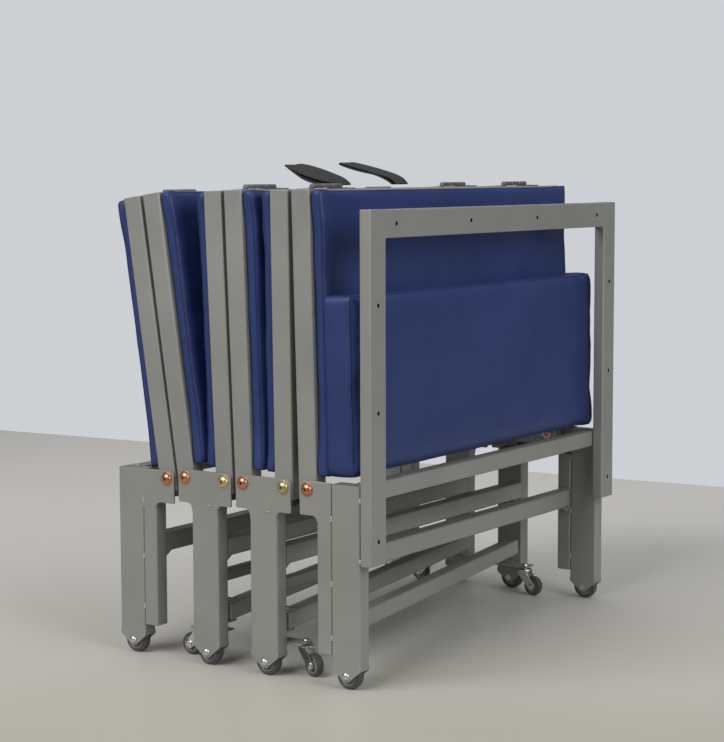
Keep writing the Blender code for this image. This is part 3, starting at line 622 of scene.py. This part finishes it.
def middle_unit(letter, numbers, way):
    s = Shape()
    x = JOINT["leg_wheel_spin_%s_near" % letter]["pos_m"][0]
    pz = PIVOT[numbers[0]][1]
    for side in (-1, 1):
        leg(s, x, pz - 0.025, side)
        plate_t(s, x, pz, side)
        caster_bracket(s, x, way, side)
        y = side * (HALF + 0.0001)
        s.bead((x + 0.004, y, pz - 0.0285), (x + 0.010, y, pz - 0.0290), 0.0011, WELD, 6)
    bar(s, x - 0.0010, x + 0.0183, 0.124, 0.145)
    bar(s, x - 0.0060, x + 0.0060, 0.092, 0.105, r=0.0015)
    for side in (-1, 1):
        gusset(s, x + 0.003, x + 0.014, 0.1241, side)
    stay_ears(s, letter)
    s.make("middle_legs_" + letter, "middle_unit_" + letter, "middle_leg_frame_" + letter)


# ---- wheels, casters, bolts -------------------------------------------------------------------
def along_y(centre, side=1):
    """Turns a lathe's local +Z to the outward Y of a side, at a centre."""
    return Matrix.Translation(centre) @ Matrix.Rotation(math.radians(-90 * side), 4, "X")


def wheel_shape(s, centre, radius, width, turn=None):
    """Rubber tread, spoked hub with a raised rim, and a bearing boss."""
    base = Matrix.Translation(centre)
    if turn is not None:
        base = base @ turn
    m = base @ Matrix.Rotation(math.radians(-90), 4, "X")
    h = width / 2
    tread = [(radius * 0.70, -h * 0.80), (radius * 0.80, -h * 0.96), (radius * 0.93, -h * 0.86),
             (radius * 0.99, -h * 0.50), (radius, -h * 0.20), (radius, h * 0.20), (radius * 0.99, h * 0.50),
             (radius * 0.93, h * 0.86), (radius * 0.80, h * 0.96), (radius * 0.70, h * 0.80)]
    s.lathe(tread + [tread[0]], TREAD, m, 48)
    rim = [(radius * 0.62, -h * 0.86), (radius * 0.71, -h * 0.90), (radius * 0.71, h * 0.90),
           (radius * 0.62, h * 0.86)]
    s.lathe(rim + [rim[0]], HUB, m, 40)
    web = [(radius * 0.24, -h * 0.45), (radius * 0.64, -h * 0.45), (radius * 0.64, h * 0.45),
           (radius * 0.24, h * 0.45)]
    s.lathe(web + [web[0]], HUB, m, 32)
    boss = [(0.0030, -h * 0.98), (radius * 0.34, -h * 0.98), (radius * 0.36, -h * 0.7),
            (radius * 0.36, h * 0.7), (radius * 0.34, h * 0.98), (0.0030, h * 0.98)]
    s.lathe(boss + [boss[0]], HUB, m, 28)
    for k in range(5):
        spoke = Matrix.Rotation(math.radians(72 * k + 17), 4, "Z")
        s.block((radius * 0.30, -0.0008, -h * 0.82), (radius * 0.66, 0.0008, h * 0.82), HUB,
                r=0.0004, segs=2, matrix=m @ spoke)


def leg_wheels():
    for letter in "abcd":
        unit = {"a": "foot_unit", "b": "middle_unit_b", "c": "middle_unit_c", "d": "head_unit"}[letter]
        for word, side in SIDE.items():
            key = "%s_%s" % (letter, word)
            centre = Vector(JOINT["leg_wheel_spin_" + key]["pos_m"])
            s = Shape()
            wheel_shape(s, centre, WHEEL_R, 0.0105)
            s.make("foot_wheel_" + key, "wheel_" + key, "leg_wheel_" + key)
            b = Shape()
            m = along_y(centre, side)
            half = LEG_DEEP / 2
            b.lathe([(0.0026, -half), (0.0026, half)], CHROME, m, 20)
            b.lathe([(0.0, half + 0.0027), (0.0018, half + 0.0026), (0.0034, half + 0.0019),
                     (0.0042, half + 0.0008), (0.0044, half + 0.0001), (0.0, half + 0.0001)], CHROME, m, 28)
            b.lathe([(0.0, -half - 0.0027), (0.0026, -half - 0.0027), (0.0026, -half - 0.0020),
                     (0.0043, -half - 0.0019), (0.0043, -half - 0.0002), (0.0, -half - 0.0002)], CHROME, m, 6)
            b.make("wheel_axle_" + key, unit, "wheel_bolt_" + key)


def casters():
    for letter in "bc":
        for word in SIDE:
            key = "%s_%s" % (letter, word)
            king = Vector(JOINT["caster_swivel_" + key]["pos_m"])
            axle = Vector(JOINT["caster_spin_" + key]["pos_m"])
            direction = math.atan2(axle.y - king.y, axle.x - king.x)
            turn = Matrix.Rotation(direction, 4, "Z")
            base = Matrix.Translation((king.x, king.y, 0)) @ turn
            trail = (Vector((axle.x, axle.y, 0)) - Vector((king.x, king.y, 0))).length
            s = Shape()
            s.lathe([(0.0, 0.0333), (0.0088, 0.0333), (0.0094, 0.0326), (0.0094, 0.0312),
                     (0.0085, 0.0303), (0.0, 0.0303)], CHROME, base, 32)
            s.block((-0.0074, -0.0066, 0.0300), (0.0084, 0.0066, 0.0318), CHROME,
                    r=0.0010, segs=3, matrix=base)
            cheek = [(-0.0062, 0.0312), (-0.0062, 0.0270), (trail - 0.0050, 0.0105)]
            cheek += arc(trail, CASTER_R, 0.0050, 215, 385, 8)
            cheek += [(0.0084, 0.0285), (0.0084, 0.0312)]
            for y in (-0.0067, 0.0051):
                s.prism(cheek, y, y + 0.0016, CHROME, r=0.0004, matrix=base)
            m = base @ along_y((trail, 0, CASTER_R))
            s.lathe([(0.0, -0.0082), (0.0022, -0.0081), (0.0034, -0.0073), (0.0034, -0.0066),
                     (0.0025, -0.0066), (0.0025, 0.0066), (0.0036, 0.0066), (0.0036, 0.0080),
                     (0.0, 0.0080)], CHROME, m, 24)
            s.lathe([(0.0026, 0.0320), (0.0026, 0.0376)], CHROME, base, 20)
            s.lathe([(0.0, 0.0402), (0.0030, 0.0400), (0.0042, 0.0388), (0.0043, 0.0375),
                     (0.0, 0.0375)], CHROME, base, 24)
            s.make("caster_yoke_" + key, "caster_" + key, "caster_fork_" + key)
            w = Shape()
            wheel_shape(w, axle, CASTER_R, 0.0090, turn)
            w.make("caster_tyre_" + key, "caster_roller_" + key, "caster_wheel_" + key)


def bolt_master():
    """A pan-shaped bolt head with a cross recess."""
    s = Shape()
    s.lathe([(0.0, 0.0043), (0.0022, 0.0042), (0.0042, 0.0036), (0.0058, 0.0025), (0.0065, 0.0012),
             (0.0066, 0.0007), (0.0, 0.0007)], STEEL, None, 40)
    mesh_obj = s.make_plain("bolt_head")
    # The recess walls take the near-black painted shade of the cutters.
    cutters = []
    for k in range(2):
        bm = bmesh.new()
        bmesh.ops.create_cube(bm, size=1.0)
        bmesh.ops.scale(bm, vec=(0.0062, 0.0013, 0.0040), verts=bm.verts)
        for v in bm.verts:
            if v.co.z < 0:
                v.co.x *= 0.45
                v.co.y *= 0.6
        turn = Matrix.Rotation(math.radians(90 * k + 20), 3, "Z")
        bmesh.ops.rotate(bm, cent=(0, 0, 0), matrix=turn, verts=bm.verts)
        bmesh.ops.translate(bm, vec=(0, 0, 0.0042), verts=bm.verts)
        cutters.append(object_from(bm, "recess", [PAINTED_HOLE_SHADE]))
    cut(mesh_obj, cutters)
    return mesh_obj


def pivot_bolts():
    master = bolt_master()
    for n in range(1, 7):
        plating = BRASS if n in (3, 5) else COPPER
        for word, side in SIDE.items():
            px, pz = PIVOT[n]
            m = along_y(Vector((px, side * HALF, pz)), side)
            s = Shape()
            spin = Matrix.Rotation(math.radians(37 * n + (50 if side > 0 else 0)), 4, "Z")
            part = bmesh.new()
            part.from_mesh(master.data)
            bmesh.ops.transform(part, matrix=m @ spin, verts=part.verts)
            mesh = bpy.data.meshes.new("head")
            part.to_mesh(mesh)
            part.free()
            s.mats = [plating, PAINTED_HOLE_SHADE]
            s.bm.from_mesh(mesh)
            bpy.data.meshes.remove(mesh)
            s.lathe([(0.0030, 0.0008), (0.0074, 0.0008), (0.0078, 0.0005), (0.0078, 0.00005),
                     (0.0030, 0.00005)], plating, m, 40)
            s.lathe([(0.0036, 0.0007), (0.0036, -0.0285), (0.0033, -0.0290), (0.0, -0.0290)], plating, m, 24)
            s.lathe([(0.0036, -0.0242), (0.0066, -0.0242), (0.0070, -0.0246), (0.0070, -0.0276),
                     (0.0066, -0.0280), (0.0036, -0.0280)], CHROME, m, 6)
            s.make("pivot_screw_%d_%s" % (n, word), UNIT_OF[n], "pivot_bolt_%d_%s" % (n, word))
    bpy.data.objects.remove(master, do_unlink=True)


# ---- panels -------------------------------------------------------------------------------------
def leaf_hinge(s, n, side, m):
    """Leaves with countersunk screws, and the knuckles that belong to this panel."""
    outward = 1 if n % 2 == 0 else -1
    ax = -outward * AXIS_OUT
    az = PANEL_L + AXIS_UP
    mid = side * 0.207
    half = 0.028
    x0, x1 = sorted((ax + outward * 0.0036, ax + outward * 0.020))
    s.block((x0, mid - half, PANEL_L - 0.0002), (x1, mid + half, PANEL_L + 0.0012), LEAF,
            r=0.0006, segs=2, matrix=m)
    if outward > 0:
        spans = [(mid - half, mid - 0.0095), (mid + 0.0095, mid + half)]
    else:
        spans = [(mid - 0.0092, mid + 0.0092)]
    turn = m @ along_y((ax, 0, az))
    for lo, hi in spans:
        s.lathe([(0.0015, lo + 0.0002), (0.0026, lo + 0.0002), (0.0030, lo + 0.0006), (0.0030, hi - 0.0006),
                 (0.0026, hi - 0.0002), (0.0015, hi - 0.0002)], LEAF, turn, 24)
        b0, b1 = sorted((ax + outward * 0.0012, ax + outward * 0.0046))
        s.block((b0, lo + 0.0002, az - 0.0024), (b1, hi - 0.0002, PANEL_L + 0.0011), LEAF,
                r=0.0003, segs=1, matrix=m)
    if outward < 0:
        s.lathe([(0.0, mid - half - 0.0004), (0.0014, mid - half - 0.0002),
                 (0.0014, mid + half + 0.0002), (0.0, mid + half + 0.0004)], LEAF, turn, 16)
    for dy in (-0.018, 0.018):
        c = m @ Matrix.Translation((ax + outward * 0.0125, mid + dy, PANEL_L + 0.0011))
        s.lathe([(0.0032, 0.0001), (0.0030, 0.0004), (0.0018, 0.0006), (0.0, 0.0002)], LEAF, c, 20)


def panel(n):
    s = Shape()
    m = panel_matrix(n)
    half = PANEL_T / 2
    inner = RAIL_OUTER - RAIL
    for side in (-1, 1):
        y0, y1 = sorted((side * RAIL_OUTER, side * inner))
        s.block((-half, y0, -HEEL + 0.006), (half, y1, PANEL_L), STEEL,
                r=0.0026, segs=4, axis="z", end=0.0008, matrix=m)
        cap_lo = (-half - 0.0002, y0 - 0.0002, -HEEL - 0.0010)
        cap_hi = (half + 0.0002, y1 + 0.0002, -HEEL + 0.0070)
        s.block(cap_lo, cap_hi, RUBBER, r=0.0022, segs=3, matrix=m)
        leaf_hinge(s, n, side, m)
    for z in (PANEL_L - RAIL, 0.165, 0.012):
        s.block((-half + 0.0002, -inner - 0.001, z), (half - 0.0002, inner + 0.001, z + RAIL - 0.0002),
                STEEL, r=0.0024, segs=3, axis="y", end=0, matrix=m)
        for side in (-1, 1):
            for x in (-half + 0.0004, half - 0.0004):
                a = m @ Vector((x, side * (inner - 0.0003), z + 0.003))
                b = m @ Vector((x, side * (inner - 0.0003), z + RAIL - 0.003))
                s.bead(a, b, 0.0011, STEEL, 7)
    s.make("ladder_frame_%d" % n, "panel_%d" % n, "panel_frame_%d" % n)


# ---- soft parts ---------------------------------------------------------------------------------
def drawn_in(y, z, lo, hi, top_in):
    """The far edge runs in a little towards the top of a pad."""
    if y <= 0:
        return y
    t = max(0.0, min(1.0, (z - lo[2]) / (hi[2] - lo[2])))
    return y - top_in * max(0.0, t - 0.45) / 0.55 * (y / hi[1]) ** 3


def soft_form(name, lo, hi, top_in, cell, rounding):
    """A closed, evenly meshed pad, ready to be inflated."""
    bm = cube_of(lo, hi)
    soften(bm, list(bm.edges), rounding, 2)
    obj = object_from(bm, name)
    remesh = obj.modifiers.new("cells", "REMESH")
    remesh.mode = "VOXEL"
    remesh.voxel_size = cell
    apply_modifiers(obj)
    for v in obj.data.vertices:
        v.co.y = drawn_in(v.co.y, v.co.z, lo, hi, top_in)
    return obj


def inflate(obj, pressure, cap, back, steps=20):
    """Cloth with pressure; the back stays on its board and no point moves past cap."""
    start = [v.co.copy() for v in obj.data.vertices]
    cloth = obj.modifiers.new("cloth", "CLOTH")
    cloth.settings.use_pressure = True
    cloth.settings.uniform_pressure_force = pressure
    cloth.settings.effector_weights.gravity = 0.0
    cloth.settings.quality = 5
    cloth.settings.tension_stiffness = 12
    cloth.settings.compression_stiffness = 12
    cloth.settings.bending_stiffness = 0.4
    cloth.settings.shrink_min = -0.02
    cloth.point_cache.frame_start = 1
    cloth.point_cache.frame_end = steps
    scene = bpy.context.scene
    for f in range(1, steps + 1):
        scene.frame_set(f)
    graph = bpy.context.evaluated_depsgraph_get()
    shaped = obj.evaluated_get(graph).to_mesh()
    moved = [v.co.copy() for v in shaped.vertices]
    obj.evaluated_get(graph).to_mesh_clear()
    obj.modifiers.clear()
    scene.frame_set(1)
    for v, a, b in zip(obj.data.vertices, start, moved):
        d = b - a
        if d.length > cap:
            d *= cap / d.length
        p = a + d
        p.x = max(p.x, back)
        v.co = p


def smooth_points(obj, factor):
    bm = bmesh.new()
    bm.from_mesh(obj.data)
    bmesh.ops.smooth_vert(bm, verts=bm.verts, factor=factor, use_axis_x=True, use_axis_y=True,
                          use_axis_z=True)
    bm.to_mesh(obj.data)
    bm.free()


def dress(obj, name, matrix, body, node, mirror, ring, wrinkle):
    """Turns an inflated form into a finished cushion on its panel: skin, seams, backing."""
    mesh = obj.data.copy()
    mesh.name = name
    piece = bpy.data.objects.new(name, mesh)
    bpy.context.scene.collection.objects.link(piece)
    for v in mesh.vertices:
        p = v.co
        crease = noise.noise(Vector((p.y * 18 + wrinkle, p.z * 30, p.x * 20)))
        v.co = p + Vector((wrinkle * 0.0006 * crease, 0, 0))
    sub = piece.modifiers.new("smooth", "SUBSURF")
    sub.levels = 1
    sub.render_levels = 1
    apply_modifiers(piece)
    mesh = piece.data
    low_x = min(v.co.x for v in mesh.vertices)
    mesh.materials.clear()
    for mat in (VINYL, BACKING, PIPING):
        mesh.materials.append(mat)
    for poly in mesh.polygons:
        poly.use_smooth = True
        poly.material_index = 1 if poly.normal.x < -0.8 and poly.center.x < low_x + 0.002 else 0
    tree = BVHTree.FromObject(piece, bpy.context.evaluated_depsgraph_get())
    seams = Shape()
    pts = []
    for p in ring:
        hit, normal, _, _ = tree.find_nearest(p)
        pts.append(hit + normal * 0.0001)
    seams.wire(pts, 0.00055, PIPING, None, 6, closed=True)
    strand = seams.make_plain(name + "_seams")
    for poly in strand.data.polygons:
        poly.use_smooth = True
    flip = Matrix.Scale(-1, 4, (1, 0, 0)) if mirror else Matrix.Identity(4)
    for part in (piece, strand):
        part.data.transform(matrix @ flip)
        if mirror:
            part.data.flip_normals()
    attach(piece, body)
    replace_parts(piece, node)
    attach(strand, body)


def ring_path(x, lo, hi, top_in, corner):
    """A rounded rectangle in a plane of constant x, following the drawn-in far edge."""
    y0, z0, y1, z1 = lo[1], lo[2], hi[1], hi[2]
    pts = []
    for cy, cz, a0 in ((y1 - corner, z1 - corner, 0), (y0 + corner, z1 - corner, 90),
                       (y0 + corner, z0 + corner, 180), (y1 - corner, z0 + corner, 270)):
        for i in range(7):
            a = math.radians(a0 + 90 * i / 6)
            pts.append(Vector((x, cy + corner * math.cos(a), cz + corner * math.sin(a))))
    dense = []
    for a, b in zip(pts, pts[1:] + pts[:1]):
        n = max(1, int((b - a).length / 0.012))
        for i in range(n):
            dense.append(a.lerp(b, i / n))
    for p in dense:
        p.y = drawn_in(p.y, p.z, lo, hi, top_in)
    return dense


def shrunk(lo, hi, by):
    return tuple(a + by for a in lo), tuple(b - by for b in hi)


def soft_goods():
    """Six pads from two inflated forms, and the pillow block on the last panel."""
    near = PANEL_T / 2 + 0.0005
    y0, y1 = PAD_Y
    lo, hi = (near, y0, 0.0120), (near + 0.0146, y1, PANEL_L + 0.0010)
    a, b = shrunk(lo, hi, 0.0010)
    masters = []
    for cell in (0.0048, 0.0051):
        form = soft_form("pad_form", (near, a[1], a[2]), b, PAD_TOP_IN, cell, 0.0026)
        smooth_points(form, 0.4)
        inflate(form, 3.0, 0.0018, near)
        smooth_points(form, 0.4)
        masters.append(form)
    seam = ring_path(hi[0] - 0.0022, a, b, PAD_TOP_IN, 0.006)
    for n in range(1, 7):
        dress(masters[n % 2], "cushion_skin_%d" % n, panel_matrix(n), "panel_%d" % n,
              "cushion_%d" % n, n % 2 == 1, seam, 1.0 + 0.37 * n)
    for form in masters:
        bpy.data.objects.remove(form, do_unlink=True)
    lo, hi = (near, y0 - 0.0006, 0.0084), (near + 0.0502, y1 + 0.0020, 0.2132)
    a, b = shrunk(lo, hi, 0.0022)
    form = soft_form("pillow_form", (near, a[1], a[2]), b, 0.0, 0.0052, 0.0050)
    smooth_points(form, 0.5)
    inflate(form, 4.5, 0.0036, near)
    smooth_points(form, 0.5)
    seam = ring_path(hi[0] - 0.0045, a, b, 0.0, 0.008)
    dress(form, "pillow_skin", panel_matrix(6), "panel_6", "pillow_block", False, seam, 2.4)
    bpy.data.objects.remove(form, do_unlink=True)


# ---- headboard, stays, straps ---------------------------------------------------------------------
def headboard():
    lo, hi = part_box("headboard_frame")
    x0, x1 = lo[0], hi[0]
    z0, z1 = lo[2], hi[2]
    wide = 0.0305
    s = Shape()
    for side in (-1, 1):
        a, b = ys(side, 0.0, wide)
        s.block((x0, a, z0), (x1, b, z1), STEEL, r=0.0020, segs=4, axis="z", end=0.0008)
    s.block((x0 + 0.0001, -HALF + wide - 0.004, z1 - wide),
            (x1 - 0.0001, HALF - wide + 0.004, z1 - 0.0001), STEEL, r=0.0018, segs=3, axis="y", end=0)
    for side in (-1, 1):
        y = side * (HALF - wide - 0.0004)
        s.bead((x0 + 0.002, y, z1 - wide - 0.0004), (x1 - 0.002, y, z1 - wide - 0.0004), 0.0017, STEEL, 8)
        s.bead((x0 - 0.0002, y, z1 - wide + 0.003), (x0 - 0.0002, y, z1 - 0.004), 0.0010, STEEL, 14)
    mesh_obj = s.make("headboard_tube", "head_unit", "headboard_frame", weighted=False)
    # Screw holes, whose walls take the near-black painted shade of the cutters.
    cutters = []
    zs = z1 - wide / 2
    for y in (-0.2295, -0.0760, 0.0760, 0.2295):
        cutters.append(cutter_rod(0.0023, (x1 + 0.002, y, zs), (x1 - 0.006, y, zs), PAINTED_HOLE_SHADE))
    for side in (-1, 1):
        y = side * (HALF - wide / 2)
        for z in (0.1630, 0.3005, 0.4145):
            cutters.append(cutter_rod(0.0023, (x1 + 0.002, y, z), (x1 - 0.006, y, z), PAINTED_HOLE_SHADE))
    cut(mesh_obj, cutters)
    mesh_obj.data.set_sharp_from_angle(angle=math.radians(SHARP))
    wn = mesh_obj.modifiers.new("normals", "WEIGHTED_NORMAL")
    wn.keep_sharp = True
    apply_modifiers(mesh_obj)


def stays():
    for letter in "bcd":
        joint = JOINT["stay_swing_" + letter]
        px, py, _ = joint["pos_m"]
        length = HALF - LEG_DEEP - 0.0007 - py
        skew = math.asin(0.0735 / length)
        m = Matrix.Translation((px, py, 0)) @ Matrix.Rotation(skew, 4, "Z")
        s = Shape()
        s.block((-0.0090, -0.0080, 0.0500), (0.0090, length - 0.0030, 0.0695), STEEL,
                r=0.0020, segs=3, axis="y", end=0.0008, matrix=m)
        s.lathe([(0.0, 0.0455), (0.0026, 0.0456), (0.0026, 0.0738), (0.0, 0.0740)], CHROME, m, 24)
        s.lathe([(0.0, 0.0745), (0.0030, 0.0743), (0.0044, 0.0735), (0.0046, 0.0726), (0.0, 0.0726)],
                CHROME, m, 24)
        s.make("tie_bar_" + letter, "stay_" + letter, "stay_bar_" + letter)


def ribbon(s, path, width, thick, mat, y_mid, twist):
    """A flat strap along (x, z) points, with rounded edges."""
    part = bmesh.new()
    rings = []
    count = len(path)
    for i, (x, z) in enumerate(path):
        ax, az = path[min(i + 1, count - 1)]
        bx, bz = path[max(i - 1, 0)]
        along = Vector((ax - bx, 0, az - bz)).normalized()
        nrm = Vector((-along.z, 0, along.x))
        roll = twist(i / (count - 1))
        across = Vector((0, 1, 0)) * math.cos(roll) + nrm * math.sin(roll)
        up = nrm * math.cos(roll) - Vector((0, 1, 0)) * math.sin(roll)
        c = Vector((x, y_mid, z))
        h, t = width / 2, thick / 2
        section = [(-h, -t * 0.4), (-h + t * 0.6, -t), (h - t * 0.6, -t), (h, -t * 0.4),
                   (h, t * 0.4), (h - t * 0.6, t), (-h + t * 0.6, t), (-h, t * 0.4)]
        rings.append([part.verts.new(c + across * u + up * v) for u, v in section])
    for a, b in zip(rings, rings[1:]):
        for k in range(8):
            j = (k + 1) % 8
            part.faces.new((a[k], b[k], b[j], a[j]))
    part.faces.new(rings[0])
    part.faces.new(list(reversed(rings[-1])))
    s.add(part, mat)


def curve_points(knots, count):
    """A smooth run through (x, z) knots."""
    out = []
    k = [knots[0]] + list(knots) + [knots[-1]]
    spans = len(knots) - 1
    for i in range(spans):
        p0, p1, p2, p3 = [Vector((a, b)) for a, b in k[i:i + 4]]
        steps = max(3, count // spans)
        for j in range(steps):
            t = j / steps
            square = 2 * p0 - 5 * p1 + 4 * p2 - p3
            cube = -p0 + 3 * p1 - 3 * p2 + p3
            out.append(0.5 * ((2 * p1) + (-p0 + p2) * t + square * t * t + cube * t ** 3))
    out.append(Vector(knots[-1]))
    return [(p.x, p.y) for p in out]


def rolled(t, most):
    """How far a strap leans about its length, at t from 0 to 1 along it."""
    return -most * math.sin(math.pi * min(1.0, t * 1.05))


def straps():
    """Two loops of webbing, one slack and lying flat, one opened and a little rolled."""
    shapes = {
        "head": ([(0.0040, 0.0), (-0.0030, 0.0060), (-0.0150, 0.0105), (-0.0290, 0.0142), (-0.0480, 0.0188),
                  (-0.0650, 0.0225), (-0.0735, 0.0242), (-0.0775, 0.0236)],
                 [(-0.0030, 0.0), (-0.0120, 0.0058), (-0.0270, 0.0118), (-0.0440, 0.0152), (-0.0600, 0.0186),
                  (-0.0720, 0.0216), (-0.0775, 0.0230)], -0.060, 0.10),
        "middle": ([(0.0045, 0.0), (-0.0060, 0.0048), (-0.0230, 0.0092), (-0.0400, 0.0140), (-0.0580, 0.0190),
                    (-0.0700, 0.0222), (-0.0765, 0.0232)],
                   [(-0.0020, 0.0), (-0.0160, 0.0030), (-0.0330, 0.0062), (-0.0480, 0.0110),
                    (-0.0600, 0.0168), (-0.0710, 0.0214), (-0.0765, 0.0226)], -0.045, 0.45)}
    for pair, number in (("head", 6), ("middle", 4)):
        upper, lower, y, roll = shapes[pair]
        node = "pull_strap_" + pair
        hx = HINGE[pair][0]
        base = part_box(node)[0][2]
        upper = [(hx + a, base + 0.0006 + b) for a, b in upper]
        lower = [(hx + a, base + 0.0006 + b) for a, b in lower]
        s = Shape()
        ribbon(s, curve_points(upper, 36), 0.0235, 0.0017, WEBBING, y, lambda t: rolled(t, roll))
        ribbon(s, curve_points(lower, 36), 0.0228, 0.0017, WEBBING, y, lambda t: rolled(t, roll * 1.1))
        pts = curve_points(upper, 120)
        for u in (-0.0098, 0.0098):
            for k in range(22):
                i = int((0.06 + 0.0405 * k) * (len(pts) - 1))
                t = i / (len(pts) - 1)
                tip = rolled(t, roll)
                (xa, za), (xb, zb) = pts[i], pts[min(i + 2, len(pts) - 1)]
                dz = u * math.sin(-tip) + 0.0010
                s.wire([(xa, y + u, za + dz), (xb, y + u, zb + dz)], 0.00028, THREAD, None, 5)
        piece = s.make("strap_loop_" + pair, "panel_%d" % number, node, weighted=False)
        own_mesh(piece)


# ---- stage, light and camera ------------------------------------------------------------------------
def stage():
    floor_mesh = bpy.data.meshes.new("studio_floor")
    corners = [(-6.0, 0.640), (3.2, 1.497), (7.0, 1.850), (7.0, -7.0), (-6.5, -7.0)]
    bm = bmesh.new()
    bm.faces.new([bm.verts.new((x, y, 0.0)) for x, y in corners])
    bm.to_mesh(floor_mesh)
    bm.free()
    floor = bpy.data.objects.new("studio_floor", floor_mesh)
    bpy.context.scene.collection.objects.link(floor)
    mat, nodes, links, shader, coords = new_material("pale_floor")
    # Painted light: the base colour runs from a dark near floor, painted with the shade around the bed, to a
    # far floor about twice as bright, painted as if more brightly lit; the noise adds random tone.
    fac = noise_of(nodes, links, coords, 1.6, 4.0, 0.5)
    near = ramp_of(nodes, links, fac, [(0.3, (0.352, 0.339, 0.283)), (0.7, (0.380, 0.366, 0.306))])
    far = ramp_of(nodes, links, fac, [(0.3, (0.720, 0.710, 0.690)), (0.7, (0.750, 0.740, 0.720))])
    reach = nodes.new("ShaderNodeVectorMath")
    reach.operation = "DOT_PRODUCT"
    reach.inputs[1].default_value = (-0.56, 0.83, 0.0)
    links.new(coords, reach.inputs[0])
    mix = nodes.new("ShaderNodeMix")
    mix.data_type = "RGBA"
    links.new(range_of(nodes, links, reach.outputs["Value"], 0.0, 1.0, -0.7, 0.7), mix.inputs["Factor"])
    links.new(near, mix.inputs["A"])
    links.new(far, mix.inputs["B"])
    links.new(mix.outputs["Result"], shader.inputs["Base Color"])
    shader.inputs["Roughness"].default_value = 0.42
    shader.inputs["Specular IOR Level"].default_value = 0.35
    floor.data.materials.append(mat)


def area(name, place, target, size, power, colour=(1, 1, 1)):
    data = bpy.data.lights.new(name, "AREA")
    data.shape = "RECTANGLE"
    data.size, data.size_y = size
    data.energy = power
    data.color = colour
    obj = bpy.data.objects.new(name, data)
    obj.location = place
    obj.rotation_mode = "QUATERNION"
    obj.rotation_quaternion = (Vector(target) - Vector(place)).to_track_quat("-Z", "Y")
    bpy.context.scene.collection.objects.link(obj)


def light():
    world = bpy.data.worlds.new("studio")
    world.use_nodes = True
    shade = world.node_tree.nodes["Background"]
    shade.inputs["Color"].default_value = (0.610, 0.630, 0.655, 1.0)
    shade.inputs["Strength"].default_value = 1.0
    nodes, links = world.node_tree.nodes, world.node_tree.links
    fill = nodes.new("ShaderNodeBackground")
    fill.inputs["Color"].default_value = (0.640, 0.640, 0.630, 1.0)
    fill.inputs["Strength"].default_value = 0.25
    path = nodes.new("ShaderNodeLightPath")
    mix = nodes.new("ShaderNodeMixShader")
    links.new(path.outputs["Is Camera Ray"], mix.inputs["Fac"])
    links.new(fill.outputs["Background"], mix.inputs[1])
    links.new(shade.outputs["Background"], mix.inputs[2])
    links.new(mix.outputs["Shader"], nodes["World Output"].inputs["Surface"])
    bpy.context.scene.world = world
    area("key", (-0.5, -2.3, 2.3), (0.0, 0.0, 0.2), (2.4, 2.0), 84.0, (1.0, 0.99, 0.975))
    area("right", (2.6, -0.6, 1.5), (0.0, 0.0, 0.3), (1.8, 1.6), 43.0, (0.98, 0.99, 1.0))
    area("back", (0.3, 1.2, 3.6), (0.3, 1.2, 0.0), (5.0, 3.0), 45.0, (0.99, 0.99, 1.0))


def camera():
    f_px, size_px = 1928.15, 742.0
    az, el, roll = math.radians(34.27), math.radians(5.88), math.radians(-0.17)
    look = Vector((-math.sin(az) * math.cos(el), math.cos(az) * math.cos(el), -math.sin(el)))
    right = Vector((math.cos(az), math.sin(az), 0))
    up = right.cross(look)
    r = right * math.cos(roll) + up * math.sin(roll)
    u = up * math.cos(roll) - right * math.sin(roll)
    data = bpy.data.cameras.new("camera")
    data.sensor_width = 36.0
    data.lens = f_px * 36.0 / size_px
    cam = bpy.data.objects.new("camera", data)
    rot = Matrix((r, u, -look)).transposed().to_4x4()
    cam.matrix_world = Matrix.Translation((1.2981, -1.9427, 0.5536)) @ rot
    bpy.context.scene.collection.objects.link(cam)
    bpy.context.scene.camera = cam


camera()
stage()
light()
head_unit()
foot_unit()
middle_unit("b", (2, 3), -1)
middle_unit("c", (4, 5), 1)
headboard()
stays()
for number in range(1, 7):
    panel(number)
leg_wheels()
casters()
pivot_bolts()
straps()
soft_goods()

bpy.context.view_layer.update()
